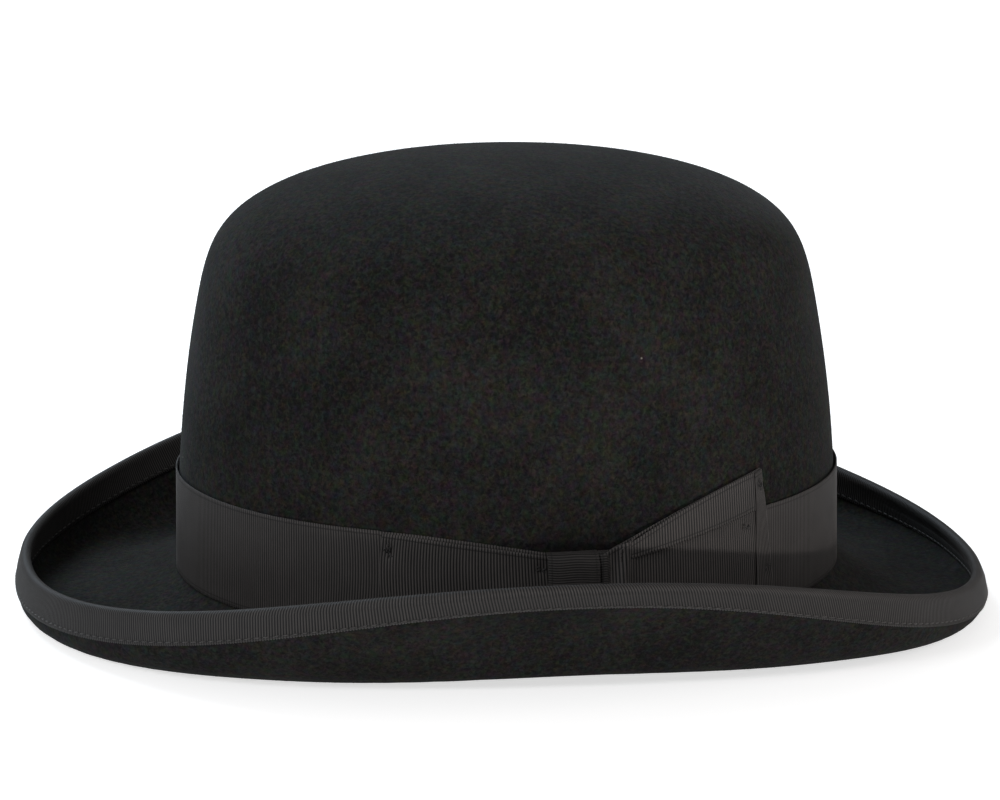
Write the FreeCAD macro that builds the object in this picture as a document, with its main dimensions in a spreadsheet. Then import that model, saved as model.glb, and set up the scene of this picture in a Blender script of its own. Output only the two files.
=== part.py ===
import FreeCAD, Part

import math
import os

import Sketcher

os.makedirs("parts", exist_ok=True)

# Bowler hat. +Z is up, +X is the wearer's left (the side with the bow), -Y is the front.
# Heights in the sheet are measured from the crown's base, where the crown turns into the brim.

doc = FreeCAD.newDocument("bowler_hat")
sheet = doc.addObject("Spreadsheet::Sheet", "dims")

DIMENSIONS = [
    # felt body
    ("crown_half_length", 106.0),
    ("crown_half_width", 90.4),
    ("crown_height", 131.8),
    ("crown_lean", -0.008),
    ("felt_thickness", 2.3),
    ("break_radius", 1.5),
    # rim: the top of the bound edge
    ("front_reach", 154.2),
    ("back_reach", 149.2),
    ("brim_half_width", 130.8),
    ("widest_shift", 9.0),
    ("rim_squareness", 2.16),
    ("rim_height_mean", 14.9),
    ("rim_tilt", -3.6),
    ("rim_sweep", -12.6),
    ("rim_fall", 0.9),
    ("rim_corner", 1.7),
    # brim section, front, side and back
    ("brim_drop", 10.9),
    ("brim_drop_side", 7.1),
    ("rest_tilt", 1.3),
    ("brim_spring", 0.304),
    ("curl_front", 15.4),
    ("curl_side", 19.0),
    ("curl_back", 12.7),
    ("curl_lean_front", 18.2),
    ("curl_lean_side", -48.0),
    ("curl_lean_back", 31.0),
    ("curl_foot_front", -10.2),
    ("curl_foot_side", -11.3),
    ("curl_foot_back", -12.2),
    ("origin_shift", 2.2),
    ("floor_level", 11.14),
    # ribbons
    ("ribbon_thickness", 0.55),
    ("binding_reach", 8.6),
    ("stitch_inset", 1.0),
    ("thread_thickness", 0.4),
    ("band_bottom", 1.3),
    ("band_top", 33.0),
    ("band_taper", 0.62),
    ("band_gap", 0.15),
    # bow, angles round the crown from the back over the left side
    ("bow_front_angle", 120.5),
    ("knot_front_angle", 93.2),
    ("knot_back_angle", 83.0),
    ("bow_rear_angle", 49.8),
    ("hem_angle", 54.0),
    ("wing_top_rear", 45.2),
    ("wing_foot_rear", 1.6),
    ("knot_top", 27.0),
    ("knot_foot", 4.6),
    ("knot_width", 15.0),
    ("knot_depth", 4.4),
    ("knot_round", 1.4),
    ("knot_angle", 89.1),
    ("tuck_angle", 84.0),
    ("tuck_width", 3.2),
    ("tuck_depth", 3.0),
    ("tack_length", 2.4),
    ("tack_size", 0.5),
    # sweatband
    ("sweat_gap", 1.5),
    ("sweat_foot", -0.6),
    ("sweat_top", 52.0),
    ("sweat_taper", 2.9),
    ("leather_thickness", 0.9),
    ("reed_radius", 0.9),
    ("tape_thickness", 0.3),
    ("tape_top", 8.0),
    ("seam_stitch_top", 46.0),
    ("seam_stitch_width", 4.0),
    ("seam_stitch_pitch", 3.0),
    ("sweat_bow_width", 26.0),
    ("sweat_bow_height", 8.0),
    ("sweat_bow_depth", 1.2),
    ("ticket_width", 24.0),
    ("ticket_height", 13.0),
    ("ticket_thickness", 0.3),
    ("ticket_level", 22.0),
    # lining
    ("satin_thickness", 0.4),
    ("lining_foot", 44.0),
    ("lining_ring", 104.0),
    ("piping_radius", 1.1),
]

for row, (alias, value) in enumerate(DIMENSIONS, start=1):
    sheet.set("A%d" % row, alias)
    sheet.set("B%d" % row, str(value))
    sheet.setAlias("B%d" % row, alias)
doc.recompute()


def dim(alias):
    return float(getattr(sheet, alias))


ROUND = 48
CLAMPED_CROWN = [0, 0, 0, 0, 1 / 3, 2 / 3, 1, 1, 1, 1]
CLAMPED_BRIM = [0, 0, 0, 0, 0.5, 1, 1, 1, 1]
# crown outline as shares of the half length and of the height
CROWN_OUTLINE = [(1.0, 0.0), (0.997, 0.33), (0.921, 0.70), (0.859, 0.900), (0.414, 1.0), (0.0, 1.0)]

NODES = []


# ---------------------------------------------------------------- curves and sections


def basis(i, degree, knots, at):
    if degree == 0:
        inside = knots[i] <= at < knots[i + 1]
        last = at >= knots[-1] and knots[i] < knots[i + 1] == knots[-1]
        return 1.0 if inside or last else 0.0
    value = 0.0
    span = knots[i + degree] - knots[i]
    if span:
        value += (at - knots[i]) / span * basis(i, degree - 1, knots, at)
    span = knots[i + degree + 1] - knots[i + 1]
    if span:
        value += (knots[i + degree + 1] - at) / span * basis(i + 1, degree - 1, knots, at)
    return value


def outline_point(controls, knots, at):
    weights = [basis(i, 3, knots, at) for i in range(len(controls))]
    across = sum(w * c[0] for w, c in zip(weights, controls))
    up = sum(w * c[1] for w, c in zip(weights, controls))
    return across, up


def crown_share(height):
    """Share of the half length that the crown keeps at this height."""
    low, high = 0.0, 1.0
    for _ in range(40):
        mid = (low + high) / 2
        if outline_point(CROWN_OUTLINE, CLAMPED_CROWN, mid)[1] * dim("crown_height") < height:
            low = mid
        else:
            high = mid
    return outline_point(CROWN_OUTLINE, CLAMPED_CROWN, low)[0]


def crown_point(angle, height, proud=0.0):
    share = crown_share(height)
    y = (dim("crown_half_length") * share + proud) * math.cos(angle) + dim("crown_lean") * height
    x = (dim("crown_half_width") * share + proud) * math.sin(angle)
    return FreeCAD.Vector(x, y, height)


def rim_point(angle):
    """The top of the curled edge. Angle 0 is the back and half a turn is the front."""
    c, s = math.cos(angle), math.sin(angle)
    power = 2 / dim("rim_squareness")
    reach = dim("front_reach") if c < 0 else dim("back_reach")
    y = math.copysign(abs(c) ** power, c) * reach + dim("widest_shift") * s * s
    x = math.copysign(abs(s) ** power, s) * dim("brim_half_width")
    z = dim("rim_height_mean") + dim("rim_tilt") * c
    z += dim("rim_sweep") * math.cos(2 * angle) + dim("rim_corner") * math.cos(4 * angle)
    z += dim("rim_fall") * math.cos(3 * angle)
    return FreeCAD.Vector(x, y, z)


def blend(angle, front, side, back):
    c = math.cos(angle)
    end = front if c < 0 else back
    return side * (1 - c * c) + end * c * c


def lowest_level(angle):
    """The brim's underside lies on one plane at the front and the back, and lifts a little at the sides."""
    c = math.cos(angle)
    lift = min(1.0, max(0.0, (0.80 - abs(c)) / 0.80))
    lift = lift * lift * (3 - 2 * lift)
    return -dim("brim_drop") - dim("rest_tilt") * c + (dim("brim_drop") - dim("brim_drop_side")) * lift


SAMPLES = 60


def fold_radius():
    return dim("felt_thickness") / 2 + dim("ribbon_thickness")


def brim_section(angle):
    """Middle of the brim's felt at one angle as points (out, up) from the crown's base, inner end first."""
    rim = rim_point(angle)
    base = crown_point(angle, 0.0)
    flat = FreeCAD.Vector(rim.x - base.x, rim.y - base.y, 0)
    length = flat.Length
    top = rim.z - fold_radius()
    half = dim("felt_thickness") / 2
    lean = math.radians(blend(angle, dim("curl_lean_front"), dim("curl_lean_side"), dim("curl_lean_back")))
    curl = blend(angle, dim("curl_front"), dim("curl_side"), dim("curl_back"))
    foot = blend(angle, dim("curl_foot_front"), dim("curl_foot_side"), dim("curl_foot_back"))
    outer = length + curl * math.sin(lean)
    wanted = lowest_level(angle) + half
    low, high = wanted - 25, wanted + 6
    for _ in range(24):
        level = (low + high) / 2
        controls = [
            (0, -half),
            (dim("brim_spring") * length, level),
            (outer + foot, level),
            (outer, top - curl * math.cos(lean)),
            (length, top),
        ]
        points = [outline_point(controls, CLAMPED_BRIM, i / SAMPLES) for i in range(SAMPLES + 1)]
        if min(p[1] for p in points[3:]) > wanted:
            high = level
        else:
            low = level
    return base, flat.normalize(), points


def stations(points):
    """Length along a section, counted back from its outer end."""
    total = [0.0]
    for p, q in zip(reversed(points[1:]), reversed(points[:-1])):
        total.append(total[-1] + math.hypot(p[0] - q[0], p[1] - q[1]))
    return list(reversed(total))


def at_station(points, lengths, wanted, proud=0.0):
    """Point of a section at a distance from its outer end, moved off to its lower side by proud."""
    for i in range(len(points) - 1):
        if lengths[i + 1] <= wanted <= lengths[i]:
            break
    span = lengths[i] - lengths[i + 1]
    share = (lengths[i] - wanted) / span if span else 0
    (ax, ay), (bx, by) = points[i], points[i + 1]
    size = math.hypot(bx - ax, by - ay)
    nx, ny = (by - ay) / size, -(bx - ax) / size
    return ax + (bx - ax) * share + nx * proud, ay + (by - ay) * share + ny * proud


def edge_points(points, lengths, reach, skin, turns=6):
    """A path round the brim's edge: up the lower face, over the edge, down the upper face."""
    off = dim("felt_thickness") / 2 + skin
    steps = 7
    marks = [reach * (1 - i / steps) for i in range(steps + 1)]
    path = [at_station(points, lengths, m, off) for m in marks]
    centre = points[-1]
    start = math.atan2(path[-1][1] - centre[1], path[-1][0] - centre[0])
    for k in range(1, turns):
        turn = start + math.pi * k / turns
        path.append((centre[0] + off * math.cos(turn), centre[1] + off * math.sin(turn)))
    path += [at_station(points, lengths, m, -off) for m in reversed(marks)]
    return path


ANGLES = [2 * math.pi * i / ROUND for i in range(ROUND)]
SECTIONS = []
for angle in ANGLES:
    base, outward, points = brim_section(angle)
    SECTIONS.append((base, outward, points, stations(points)))


def in_space(section, point):
    base, outward = section[0], section[1]
    return FreeCAD.Vector(base.x + outward.x * point[0], base.y + outward.y * point[0], point[1])


def rows_from(paths):
    """Turns one path per angle into rings, one per step along the path."""
    return [[in_space(s, path[i]) for s, path in zip(SECTIONS, paths)] for i in range(len(paths[0]))]


# ---------------------------------------------------------------- closed surfaces


def ring_surface(rows):
    """A smooth face through rings of points, closed round the hat."""
    count = len(rows[0])
    curves = []
    for ring in rows:
        curve = Part.BSplineCurve()
        curve.interpolate(Points=ring, PeriodicFlag=True, Parameters=[float(i) for i in range(count + 1)])
        curves.append(curve)
    around = curves[0]
    columns = list(zip(*[c.getPoles() for c in curves]))
    if len(rows) == 2:
        poles = [c.getPoles() for c in curves]
        knots, mults, degree = [0.0, 1.0], [2, 2], 1
    else:
        marks = [0.0]
        for a, b in zip(rows, rows[1:]):
            gap = sum((q - p).Length for p, q in zip(a, b)) / count
            marks.append(marks[-1] + max(gap, 1e-3))
        lines = []
        for column in columns:
            line = Part.BSplineCurve()
            line.interpolate(Points=list(column), PeriodicFlag=False, Parameters=marks)
            lines.append(line)
        poles = list(zip(*[line.getPoles() for line in lines]))
        knots, mults, degree = lines[0].getKnots(), lines[0].getMultiplicities(), lines[0].Degree
    surface = Part.BSplineSurface()
    surface.buildFromPolesMultsKnots(
        [list(p) for p in poles],
        mults,
        around.getMultiplicities(),
        knots,
        around.getKnots(),
        False,
        True,
        degree,
        around.Degree,
    )
    return surface.toShape()


def solid_from(faces):
    shell = Part.makeShell(faces)
    shell.sewShape()
    if shell.ShapeType != "Shell":
        shell = shell.Shells[0]
    solid = Part.makeSolid(shell)
    if solid.Volume < 0:
        solid.reverse()
    return solid


def ring_solid(*groups):
    """A ring shaped solid from groups of rings; each group starts on the ring where the last one ends."""
    return solid_from([ring_surface(rows) for rows in groups])


def patch_surface(grid):
    surface = Part.BSplineSurface()
    surface.interpolate(grid)
    return surface


def patch_solid(outer, inner):
    """A thin sheet between two grids of points of the same size."""
    top, bottom = patch_surface(outer), patch_surface(inner)
    u0, u1, v0, v1 = top.bounds()
    a0, a1, b0, b1 = bottom.bounds()
    faces = [top.toShape(), bottom.toShape()]
    pairs = [
        (top.uIso(u0), bottom.uIso(a0)),
        (top.uIso(u1), bottom.uIso(a1)),
        (top.vIso(v0), bottom.vIso(b0)),
        (top.vIso(v1), bottom.vIso(b1)),
    ]
    for one, other in pairs:
        faces.append(Part.makeRuledSurface(one.toShape(), other.toShape()))
    return solid_from(faces)


# ---------------------------------------------------------------- document objects


def seat():
    """Stands the hat on its brim: the crown's base leans a little towards the back."""
    across = dim("front_reach") + dim("back_reach") - 43
    tilt = math.degrees(math.atan2(2 * dim("rest_tilt"), across))
    turn = FreeCAD.Rotation(FreeCAD.Vector(1, 0, 0), tilt)
    return FreeCAD.Placement(FreeCAD.Vector(0, dim("origin_shift"), dim("floor_level")), turn)


def keep(obj, name):
    obj.Label = name
    obj.Placement = seat().multiply(obj.Placement)
    NODES.append((name, obj))
    return obj


def shape_node(name, shape):
    obj = doc.addObject("Part::Feature", name)
    obj.Shape = shape
    return keep(obj, name)


def oval(name, half_long, half_wide, height):
    """An ellipse round the head, long axis front to back, its sizes bound to the sheet."""
    obj = doc.addObject("Part::Ellipse", name)
    obj.Placement = FreeCAD.Placement(FreeCAD.Vector(0, 0, 0), FreeCAD.Rotation(FreeCAD.Vector(0, 0, 1), 90))
    obj.setExpression("MajorRadius", half_long)
    obj.setExpression("MinorRadius", half_wide)
    obj.setExpression("Placement.Base.z", height)
    obj.setExpression("Placement.Base.y", "dims.crown_lean * (" + height + ")")
    return obj


def loft(name, ovals):
    obj = doc.addObject("Part::Loft", name)
    obj.Sections = ovals
    obj.Solid = True
    obj.Ruled = True
    return obj


LONG = "dims.crown_half_length"
WIDE = "dims.crown_half_width"


def oval_sleeve(name, foot, top, outer_foot, outer_top, wall):
    """A tapering oval sleeve. outer_foot and outer_top are added to the crown's half sizes."""
    blanks = []
    for kind, less in (("outer", ""), ("inner", " - " + wall)):
        rings = [
            oval(name + "_" + kind + "_foot", LONG + outer_foot + less, WIDE + outer_foot + less, foot),
            oval(name + "_" + kind + "_top", LONG + outer_top + less, WIDE + outer_top + less, top),
        ]
        blanks.append(loft(name + "_" + kind, rings))
    cut = doc.addObject("Part::Cut", name)
    cut.Base, cut.Tool = blanks
    doc.recompute()
    return keep(cut, name)


def rectangle(sketch, width, height):
    """A rectangle about the sketch's origin, with its two sizes bound to the sheet."""
    w, h = 5.0, 5.0
    corners = [FreeCAD.Vector(x, y, 0) for x, y in ((-w, -h), (w, -h), (w, h), (-w, h))]
    for i in range(4):
        sketch.addGeometry(Part.LineSegment(corners[i], corners[(i + 1) % 4]), False)
    for i in range(4):
        sketch.addConstraint(Sketcher.Constraint("Coincident", i, 2, (i + 1) % 4, 1))
    for i in (0, 2):
        sketch.addConstraint(Sketcher.Constraint("Horizontal", i))
    for i in (1, 3):
        sketch.addConstraint(Sketcher.Constraint("Vertical", i))
    sketch.addConstraint(Sketcher.Constraint("Symmetric", 0, 1, 2, 1, -1, 1))
    across = sketch.addConstraint(Sketcher.Constraint("DistanceX", 0, 1, 0, 2, 2 * w))
    up = sketch.addConstraint(Sketcher.Constraint("DistanceY", 1, 1, 1, 2, 2 * h))
    sketch.setExpression("Constraints[%d]" % across, width)
    sketch.setExpression("Constraints[%d]" % up, height)


def origin_plane(body, role):
    return next(f for f in body.Origin.OriginFeatures if f.Role == role)


def block_body(name, width, height, depth, rounded=None):
    """A body that is one padded rectangle, its long faces rounded where a radius is given."""
    body = doc.addObject("PartDesign::Body", name)
    sketch = body.newObject("Sketcher::SketchObject", name + "_outline")
    sketch.AttachmentSupport = (origin_plane(body, "XY_Plane"), [""])
    sketch.MapMode = "FlatFace"
    rectangle(sketch, width, height)
    pad = body.newObject("PartDesign::Pad", name + "_pad")
    pad.Profile = sketch
    pad.setExpression("Length", depth)
    doc.recompute()
    if rounded:
        fillet = body.newObject("PartDesign::Fillet", name + "_round")
        fillet.Base = (pad, top_edges(pad.Shape))
        fillet.setExpression("Radius", rounded)
        doc.recompute()
    return body


def top_edges(shape):
    top = shape.BoundBox.ZMax
    return [
        "Edge%d" % (i + 1)
        for i, edge in enumerate(shape.Edges)
        if abs(edge.BoundBox.ZMin - top) < 1e-6 and abs(edge.BoundBox.ZMax - top) < 1e-6
    ]


def on_crown(angle_deg, height, proud, tilt=0.0):
    """Placement with +Z out of the crown's wall, +Y up and +X towards the back of the hat."""
    angle = math.radians(angle_deg)
    spot = crown_point(angle, height, proud)
    half_long, half_wide = dim("crown_half_length"), dim("crown_half_width")
    out = FreeCAD.Vector(math.sin(angle) / half_wide, math.cos(angle) / half_long, 0).normalize()
    up = FreeCAD.Vector(0, 0, 1)
    along = up.cross(out)
    turn = FreeCAD.Rotation(along, up, out, "ZXY")
    roll = FreeCAD.Rotation(FreeCAD.Vector(0, 0, 1), tilt)
    return FreeCAD.Placement(spot, turn.multiply(roll))


# ---------------------------------------------------------------- felt and its edge


def felt_rows():
    felt = dim("felt_thickness")
    height = dim("crown_height")
    turn = dim("break_radius")
    marks = [0.97, 0.93, 0.88, 0.82, 0.75, 0.67, 0.58, 0.48, 0.38, 0.28, 0.18, 0.10, 0.04]
    outline = [outline_point(CROWN_OUTLINE, CLAMPED_CROWN, m) for m in marks]
    rows = []

    def crown_ring(share, level, less):
        long = (dim("crown_half_length") - less) * share
        wide = (dim("crown_half_width") - less) * share
        lean = dim("crown_lean") * level
        return [FreeCAD.Vector(wide * math.sin(a), long * math.cos(a) + lean, level) for a in ANGLES]

    for share, up in outline:
        rows.append(crown_ring(share, up * height, 0.0))
    paths = []
    for section in SECTIONS:
        points, lengths = section[2], section[3]
        path = []
        for degrees in (180, 225):
            x = turn + turn * math.cos(math.radians(degrees))
            y = turn + turn * math.sin(math.radians(degrees))
            path.append((x, y))
        inner = lengths[0] - turn - 0.6
        outer = 15.0
        steps = [inner + (outer - inner) * i / 7 for i in range(8)]
        path += [at_station(points, lengths, m, -felt / 2) for m in steps]
        rim = edge_points(points, lengths, 13.0, 0.0)
        path += list(reversed(rim))
        path += [at_station(points, lengths, m, felt / 2) for m in reversed(steps)]
        for degrees in (225, 180):
            x = turn + (turn + felt) * math.cos(math.radians(degrees))
            y = turn + (turn + felt) * math.sin(math.radians(degrees))
            path.append((x, y))
        paths.append(path)
    rows += rows_from(paths)
    for share, up in reversed(outline):
        rows.append(crown_ring(share, up * (height - felt), felt))
    return rows


def make_felt_body():
    rows = felt_rows()
    skin = ring_surface(rows)
    caps = []
    for edge in skin.Edges:
        box = edge.BoundBox
        if box.ZLength < 1e-3 and box.ZMin > dim("crown_height") / 2:
            caps.append(Part.Face(Part.Wire([edge])))
    shape_node("felt_body", solid_from([skin] + caps))


def make_brim_binding():
    thick = dim("ribbon_thickness")
    outside, inside = [], []
    for section in SECTIONS:
        outside.append(edge_points(section[2], section[3], dim("binding_reach"), thick))
        inside.append(edge_points(section[2], section[3], dim("binding_reach"), 0.02))
    outer, inner = rows_from(outside), rows_from(inside)
    shape = ring_solid(outer, [outer[-1], inner[-1]], list(reversed(inner)), [inner[0], outer[0]])
    shape_node("brim_binding", shape)


def thread_ring(side):
    """One thread laid round the binding, square in section, on its lower or upper face."""
    size = dim("thread_thickness")
    middle = dim("binding_reach") - dim("stitch_inset")
    face = side * fold_radius()
    levels = (face - size / 2, face + size / 2)
    corners = []
    for reach, level in (
        (middle - size / 2, levels[0]),
        (middle + size / 2, levels[0]),
        (middle + size / 2, levels[1]),
        (middle - size / 2, levels[1]),
    ):
        paths = [[at_station(s[2], s[3], reach, level)] for s in SECTIONS]
        corners.append(rows_from(paths)[0])
    groups = [[corners[i], corners[(i + 1) % 4]] for i in range(4)]
    return ring_solid(*groups)


def make_binding_stitching():
    shape_node("binding_stitching", Part.makeCompound([thread_ring(1), thread_ring(-1)]))


# ---------------------------------------------------------------- band and bow


def rear_top(share):
    start = dim("knot_top") - 0.8
    return start + (dim("wing_top_rear") - start) * (1.695 * share - 0.695 * share ** 2)


def rear_foot(share):
    start = dim("knot_foot") + 1.0
    return start + (dim("wing_foot_rear") - start) * share


def front_top(share):
    start = dim("band_top") - 0.6
    return start - (start - dim("knot_top") + 0.6) * share ** 1.3


def front_foot(share):
    return dim("band_bottom") + (dim("knot_foot") + 1.0 - dim("band_bottom")) * share ** 1.6


def soft_least(one, other, blur=0.8):
    return (one + other - math.hypot(one - other, blur)) / 2


def band_top(degrees):
    """The band's upper edge: level round the crown, and drawn down under the bow."""
    turn = (degrees + 180) % 360 - 180
    front_start, rear_end = dim("bow_front_angle"), dim("bow_rear_angle")
    if turn < rear_end or turn > front_start:
        return dim("band_top")
    if turn > dim("knot_angle"):
        share = (front_start - turn) / (front_start - dim("knot_front_angle") + 1.5)
        share = min(share, 1.0)
        drawn = front_top(share) + 1.1 - 0.8 * share ** 3
    else:
        share = (dim("knot_back_angle") + 1.5 - turn) / (dim("knot_back_angle") + 1.5 - rear_end)
        drawn = rear_top(max(share, 0.05)) - 0.7
    return soft_least(dim("band_top"), drawn)


def make_hat_band():
    gap, thick = dim("band_gap"), dim("ribbon_thickness")
    foot = dim("band_bottom")

    def ring(proud, upper):
        points = []
        for angle in ANGLES:
            top = band_top(math.degrees(angle))
            drawn = dim("band_taper") * (top - foot) / (dim("band_top") - foot) if upper else 0
            long = dim("crown_half_length") + proud - drawn
            wide = dim("crown_half_width") + proud - drawn
            level = top if upper else foot
            lean = dim("crown_lean") * level
            points.append(FreeCAD.Vector(wide * math.sin(angle), long * math.cos(angle) + lean, level))
        return points

    corners = [ring(gap + thick, False), ring(gap + thick, True), ring(gap, True), ring(gap, False)]
    shape_node("hat_band", ring_solid(*[[corners[i], corners[(i + 1) % 4]] for i in range(4)]))


def wing(angles_deg, foot_of, top_of, proud_of, thick, tall=5, lean=lambda share: 0.0):
    """A ribbon laid over the band: foot, top and height above the crown given along its length;
    lean is how many degrees its top is cut back."""
    outer, inner = [], []
    count = len(angles_deg)
    for i, degrees in enumerate(angles_deg):
        share = i / (count - 1)
        foot, top = foot_of(share), top_of(share)
        outer.append([])
        inner.append([])
        for k in range(tall):
            height = foot + (top - foot) * k / (tall - 1)
            proud = proud_of(share, k / (tall - 1))
            turn = math.radians(degrees + lean(share) * k / (tall - 1))
            outer[-1].append(crown_point(turn, height, proud + thick))
            inner[-1].append(crown_point(turn, height, proud))
    return patch_solid(outer, inner)


def spread(start, end, count):
    return [start + (end - start) * i / (count - 1) for i in range(count)]


def make_bow_front_wing():
    thick = dim("ribbon_thickness")
    over = thick + 0.3
    angles = spread(dim("bow_front_angle"), dim("knot_front_angle") - 1.5, 9)
    shape = wing(
        angles,
        front_foot,
        front_top,
        lambda s, k: over + 0.9 * s * s,
        thick,
    )
    shape_node("bow_front_wing", shape)


def make_bow_rear_wing():
    thick = dim("ribbon_thickness")
    over = thick + 0.3
    angles = spread(dim("knot_back_angle") + 1.5, dim("bow_rear_angle"), 11)
    shape = wing(
        angles,
        rear_foot,
        rear_top,
        lambda s, k: over + 2.0 * (1 - s) ** 2,
        thick,
        lean=lambda s: 2.6 * s ** 6,
    )
    shape_node("bow_rear_wing", shape)


def make_bow_rear_pleat():
    """The folded upper layer of the rear wing, from its top edge down to the pleat."""
    thick = dim("ribbon_thickness")
    over = 2 * thick + 0.42
    angles = spread(dim("knot_back_angle") - 1.5, dim("hem_angle") + 0.4, 9)

    def fold(share):
        return dim("knot_top") - 2.5 + (33.0 - dim("knot_top") + 2.5) * share

    shape = wing(
        angles,
        fold,
        lambda s: rear_top(s * 0.87 + 0.06) - 0.3,
        lambda s, k: over + 2.0 * (1 - s) ** 2,
        thick,
    )
    shape_node("bow_rear_pleat", shape)


def make_bow_rear_hem():
    """The ribbon's end, turned in to a narrow strip."""
    thick = dim("ribbon_thickness")
    over = 2 * thick + 0.42
    angles = spread(dim("hem_angle"), dim("bow_rear_angle") + 0.1, 4)
    shape = wing(
        angles,
        lambda s: dim("wing_foot_rear") + 0.2,
        lambda s: rear_top(0.88 + 0.12 * s) - 0.2,
        lambda s, k: over,
        thick,
        lean=lambda s: 2.6 * s,
    )
    shape_node("bow_rear_hem", shape)


def make_bow_knot():
    body = block_body(
        "bow_knot", "dims.knot_width", "dims.knot_top - dims.knot_foot", "dims.knot_depth", "dims.knot_round"
    )
    middle = (dim("knot_top") + dim("knot_foot")) / 2
    body.Placement = on_crown(dim("knot_angle"), middle, dim("ribbon_thickness") + 0.2)
    keep(body, "bow_knot")


def make_bow_knot_tuck():
    body = block_body("bow_knot_tuck", "dims.tuck_width", "dims.knot_top - dims.knot_foot - 0.8", "dims.tuck_depth")
    middle = (dim("knot_top") + dim("knot_foot")) / 2
    body.Placement = on_crown(dim("tuck_angle"), middle, dim("ribbon_thickness") + 0.3)
    keep(body, "bow_knot_tuck")


def stitch_block(angle, height, proud, tilt=0.0):
    """One short stitch as a small bar lying on the ribbon."""
    bar = doc.addObject("Part::Box", "stitch")
    bar.setExpression("Length", "dims.tack_length")
    bar.setExpression("Width", "dims.tack_size")
    bar.setExpression("Height", "dims.tack_size")
    place = on_crown(angle, height, proud, tilt)
    inset = FreeCAD.Placement(
        FreeCAD.Vector(-dim("tack_length") / 2, -dim("tack_size") / 2, -0.1), FreeCAD.Rotation()
    )
    bar.Placement = place.multiply(inset)
    return bar


def stitch_group(name, spots):
    group = doc.addObject("Part::Compound", name)
    group.Links = [stitch_block(*spot) for spot in spots]
    doc.recompute()
    keep(group, name)


def make_stitch_groups():
    layer = dim("ribbon_thickness")
    over = 2 * layer + 0.3
    stitch_group("bow_front_tacks", [(119.3, 28.1, over, 60), (119.0, 26.6, over, 20), (94.2, 22.7, over + 0.9, 30)])
    pile = 3 * layer + 0.42
    stitch_group(
        "bow_rear_tacks",
        [(53.2, 41.0, pile, 75), (52.6, 39.4, pile, 75), (56.4, 28.2, over, 40), (51.6, 14.1, pile, 70)],
    )
    stitch_group("band_lower_stitches", [(137.9, 2.6, layer, 10), (137.9, 4.4, layer, 90)])


# ---------------------------------------------------------------- sweatband


def sweat_outer():
    return " - dims.felt_thickness - dims.sweat_gap"


def make_sweatband():
    oval_sleeve(
        "sweatband",
        "dims.sweat_foot",
        "dims.sweat_top",
        sweat_outer(),
        sweat_outer() + " - dims.sweat_taper",
        "dims.leather_thickness",
    )


def head_ring(offset, level):
    """Ring of points inside the crown, offset taken off the crown's half sizes."""
    long = dim("crown_half_length") - offset
    wide = dim("crown_half_width") - offset
    return [FreeCAD.Vector(wide * math.sin(a), long * math.cos(a), level) for a in ANGLES]


def reed_level():
    return dim("sweat_foot") - dim("reed_radius") - 0.1


def reed_offset():
    return dim("felt_thickness") + dim("sweat_gap") + dim("leather_thickness") / 2


def head_tube(offset, level, radius, sides=8):
    """A round rod bent to the head's oval."""
    rings = []
    for k in range(sides + 1):
        turn = 2 * math.pi * k / sides
        rings.append(head_ring(offset + radius * math.cos(turn), level + radius * math.sin(turn)))
    half = sides // 2
    return ring_solid(rings[: half + 1], rings[half:])


def make_sweatband_reed():
    shape_node("sweatband_reed", head_tube(reed_offset(), reed_level(), dim("reed_radius")))


def make_sweatband_tape():
    """The welt tape: folded round the reed and sewn to the leather on both its faces."""
    thick = dim("tape_thickness")
    centre, level = reed_offset(), reed_level()
    top = dim("sweat_foot") + dim("tape_top")

    def leg_path(radius):
        path = [(-radius, top), (-radius, top / 2), (-radius, level)]
        for k in range(1, 6):
            turn = math.pi + math.pi * k / 6
            path.append((radius * math.cos(turn), level + radius * math.sin(turn)))
        path += [(radius, level), (radius, top * 0.3), (radius, top * 0.55)]
        return path

    inner = [head_ring(centre - across, up) for across, up in leg_path(dim("reed_radius") + 0.02)]
    outer = [head_ring(centre - across, up) for across, up in leg_path(dim("reed_radius") + 0.02 + thick)]
    shape_node(
        "sweatband_reed_tape",
        ring_solid(outer, [outer[-1], inner[-1]], list(reversed(inner)), [inner[0], outer[0]]),
    )


def make_sweatband_stitching():
    """The row of stitches that joins leather, tape and felt, just above the reed."""
    half = dim("thread_thickness") / 2
    offset = dim("felt_thickness") + dim("sweat_gap") + dim("leather_thickness") + 0.55
    level = dim("sweat_foot") + 2.2
    signs = ((-1, -1), (-1, 1), (1, 1), (1, -1))
    corners = [head_ring(offset + a * half, level + b * half) for a, b in signs]
    groups = [[corners[i], corners[(i + 1) % 4]] for i in range(4)]
    shape_node("sweatband_stitching", ring_solid(*groups))


def sweat_inner(angle_deg, height, clear=0.0):
    """Placement on the sweatband's inner face, +Z into the head space and +Y up."""
    angle = math.radians(angle_deg)
    taper = dim("sweat_taper") * (height - dim("sweat_foot")) / (dim("sweat_top") - dim("sweat_foot"))
    less = dim("felt_thickness") + dim("sweat_gap") + dim("leather_thickness") + taper + clear
    long, wide = dim("crown_half_length") - less, dim("crown_half_width") - less
    spot = FreeCAD.Vector(wide * math.sin(angle), long * math.cos(angle), height)
    out = FreeCAD.Vector(-math.sin(angle) / wide, -math.cos(angle) / long, 0).normalize()
    up = FreeCAD.Vector(0, 0, 1)
    along = up.cross(out)
    return FreeCAD.Placement(spot, FreeCAD.Rotation(along, up, out, "ZXY"))


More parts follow.
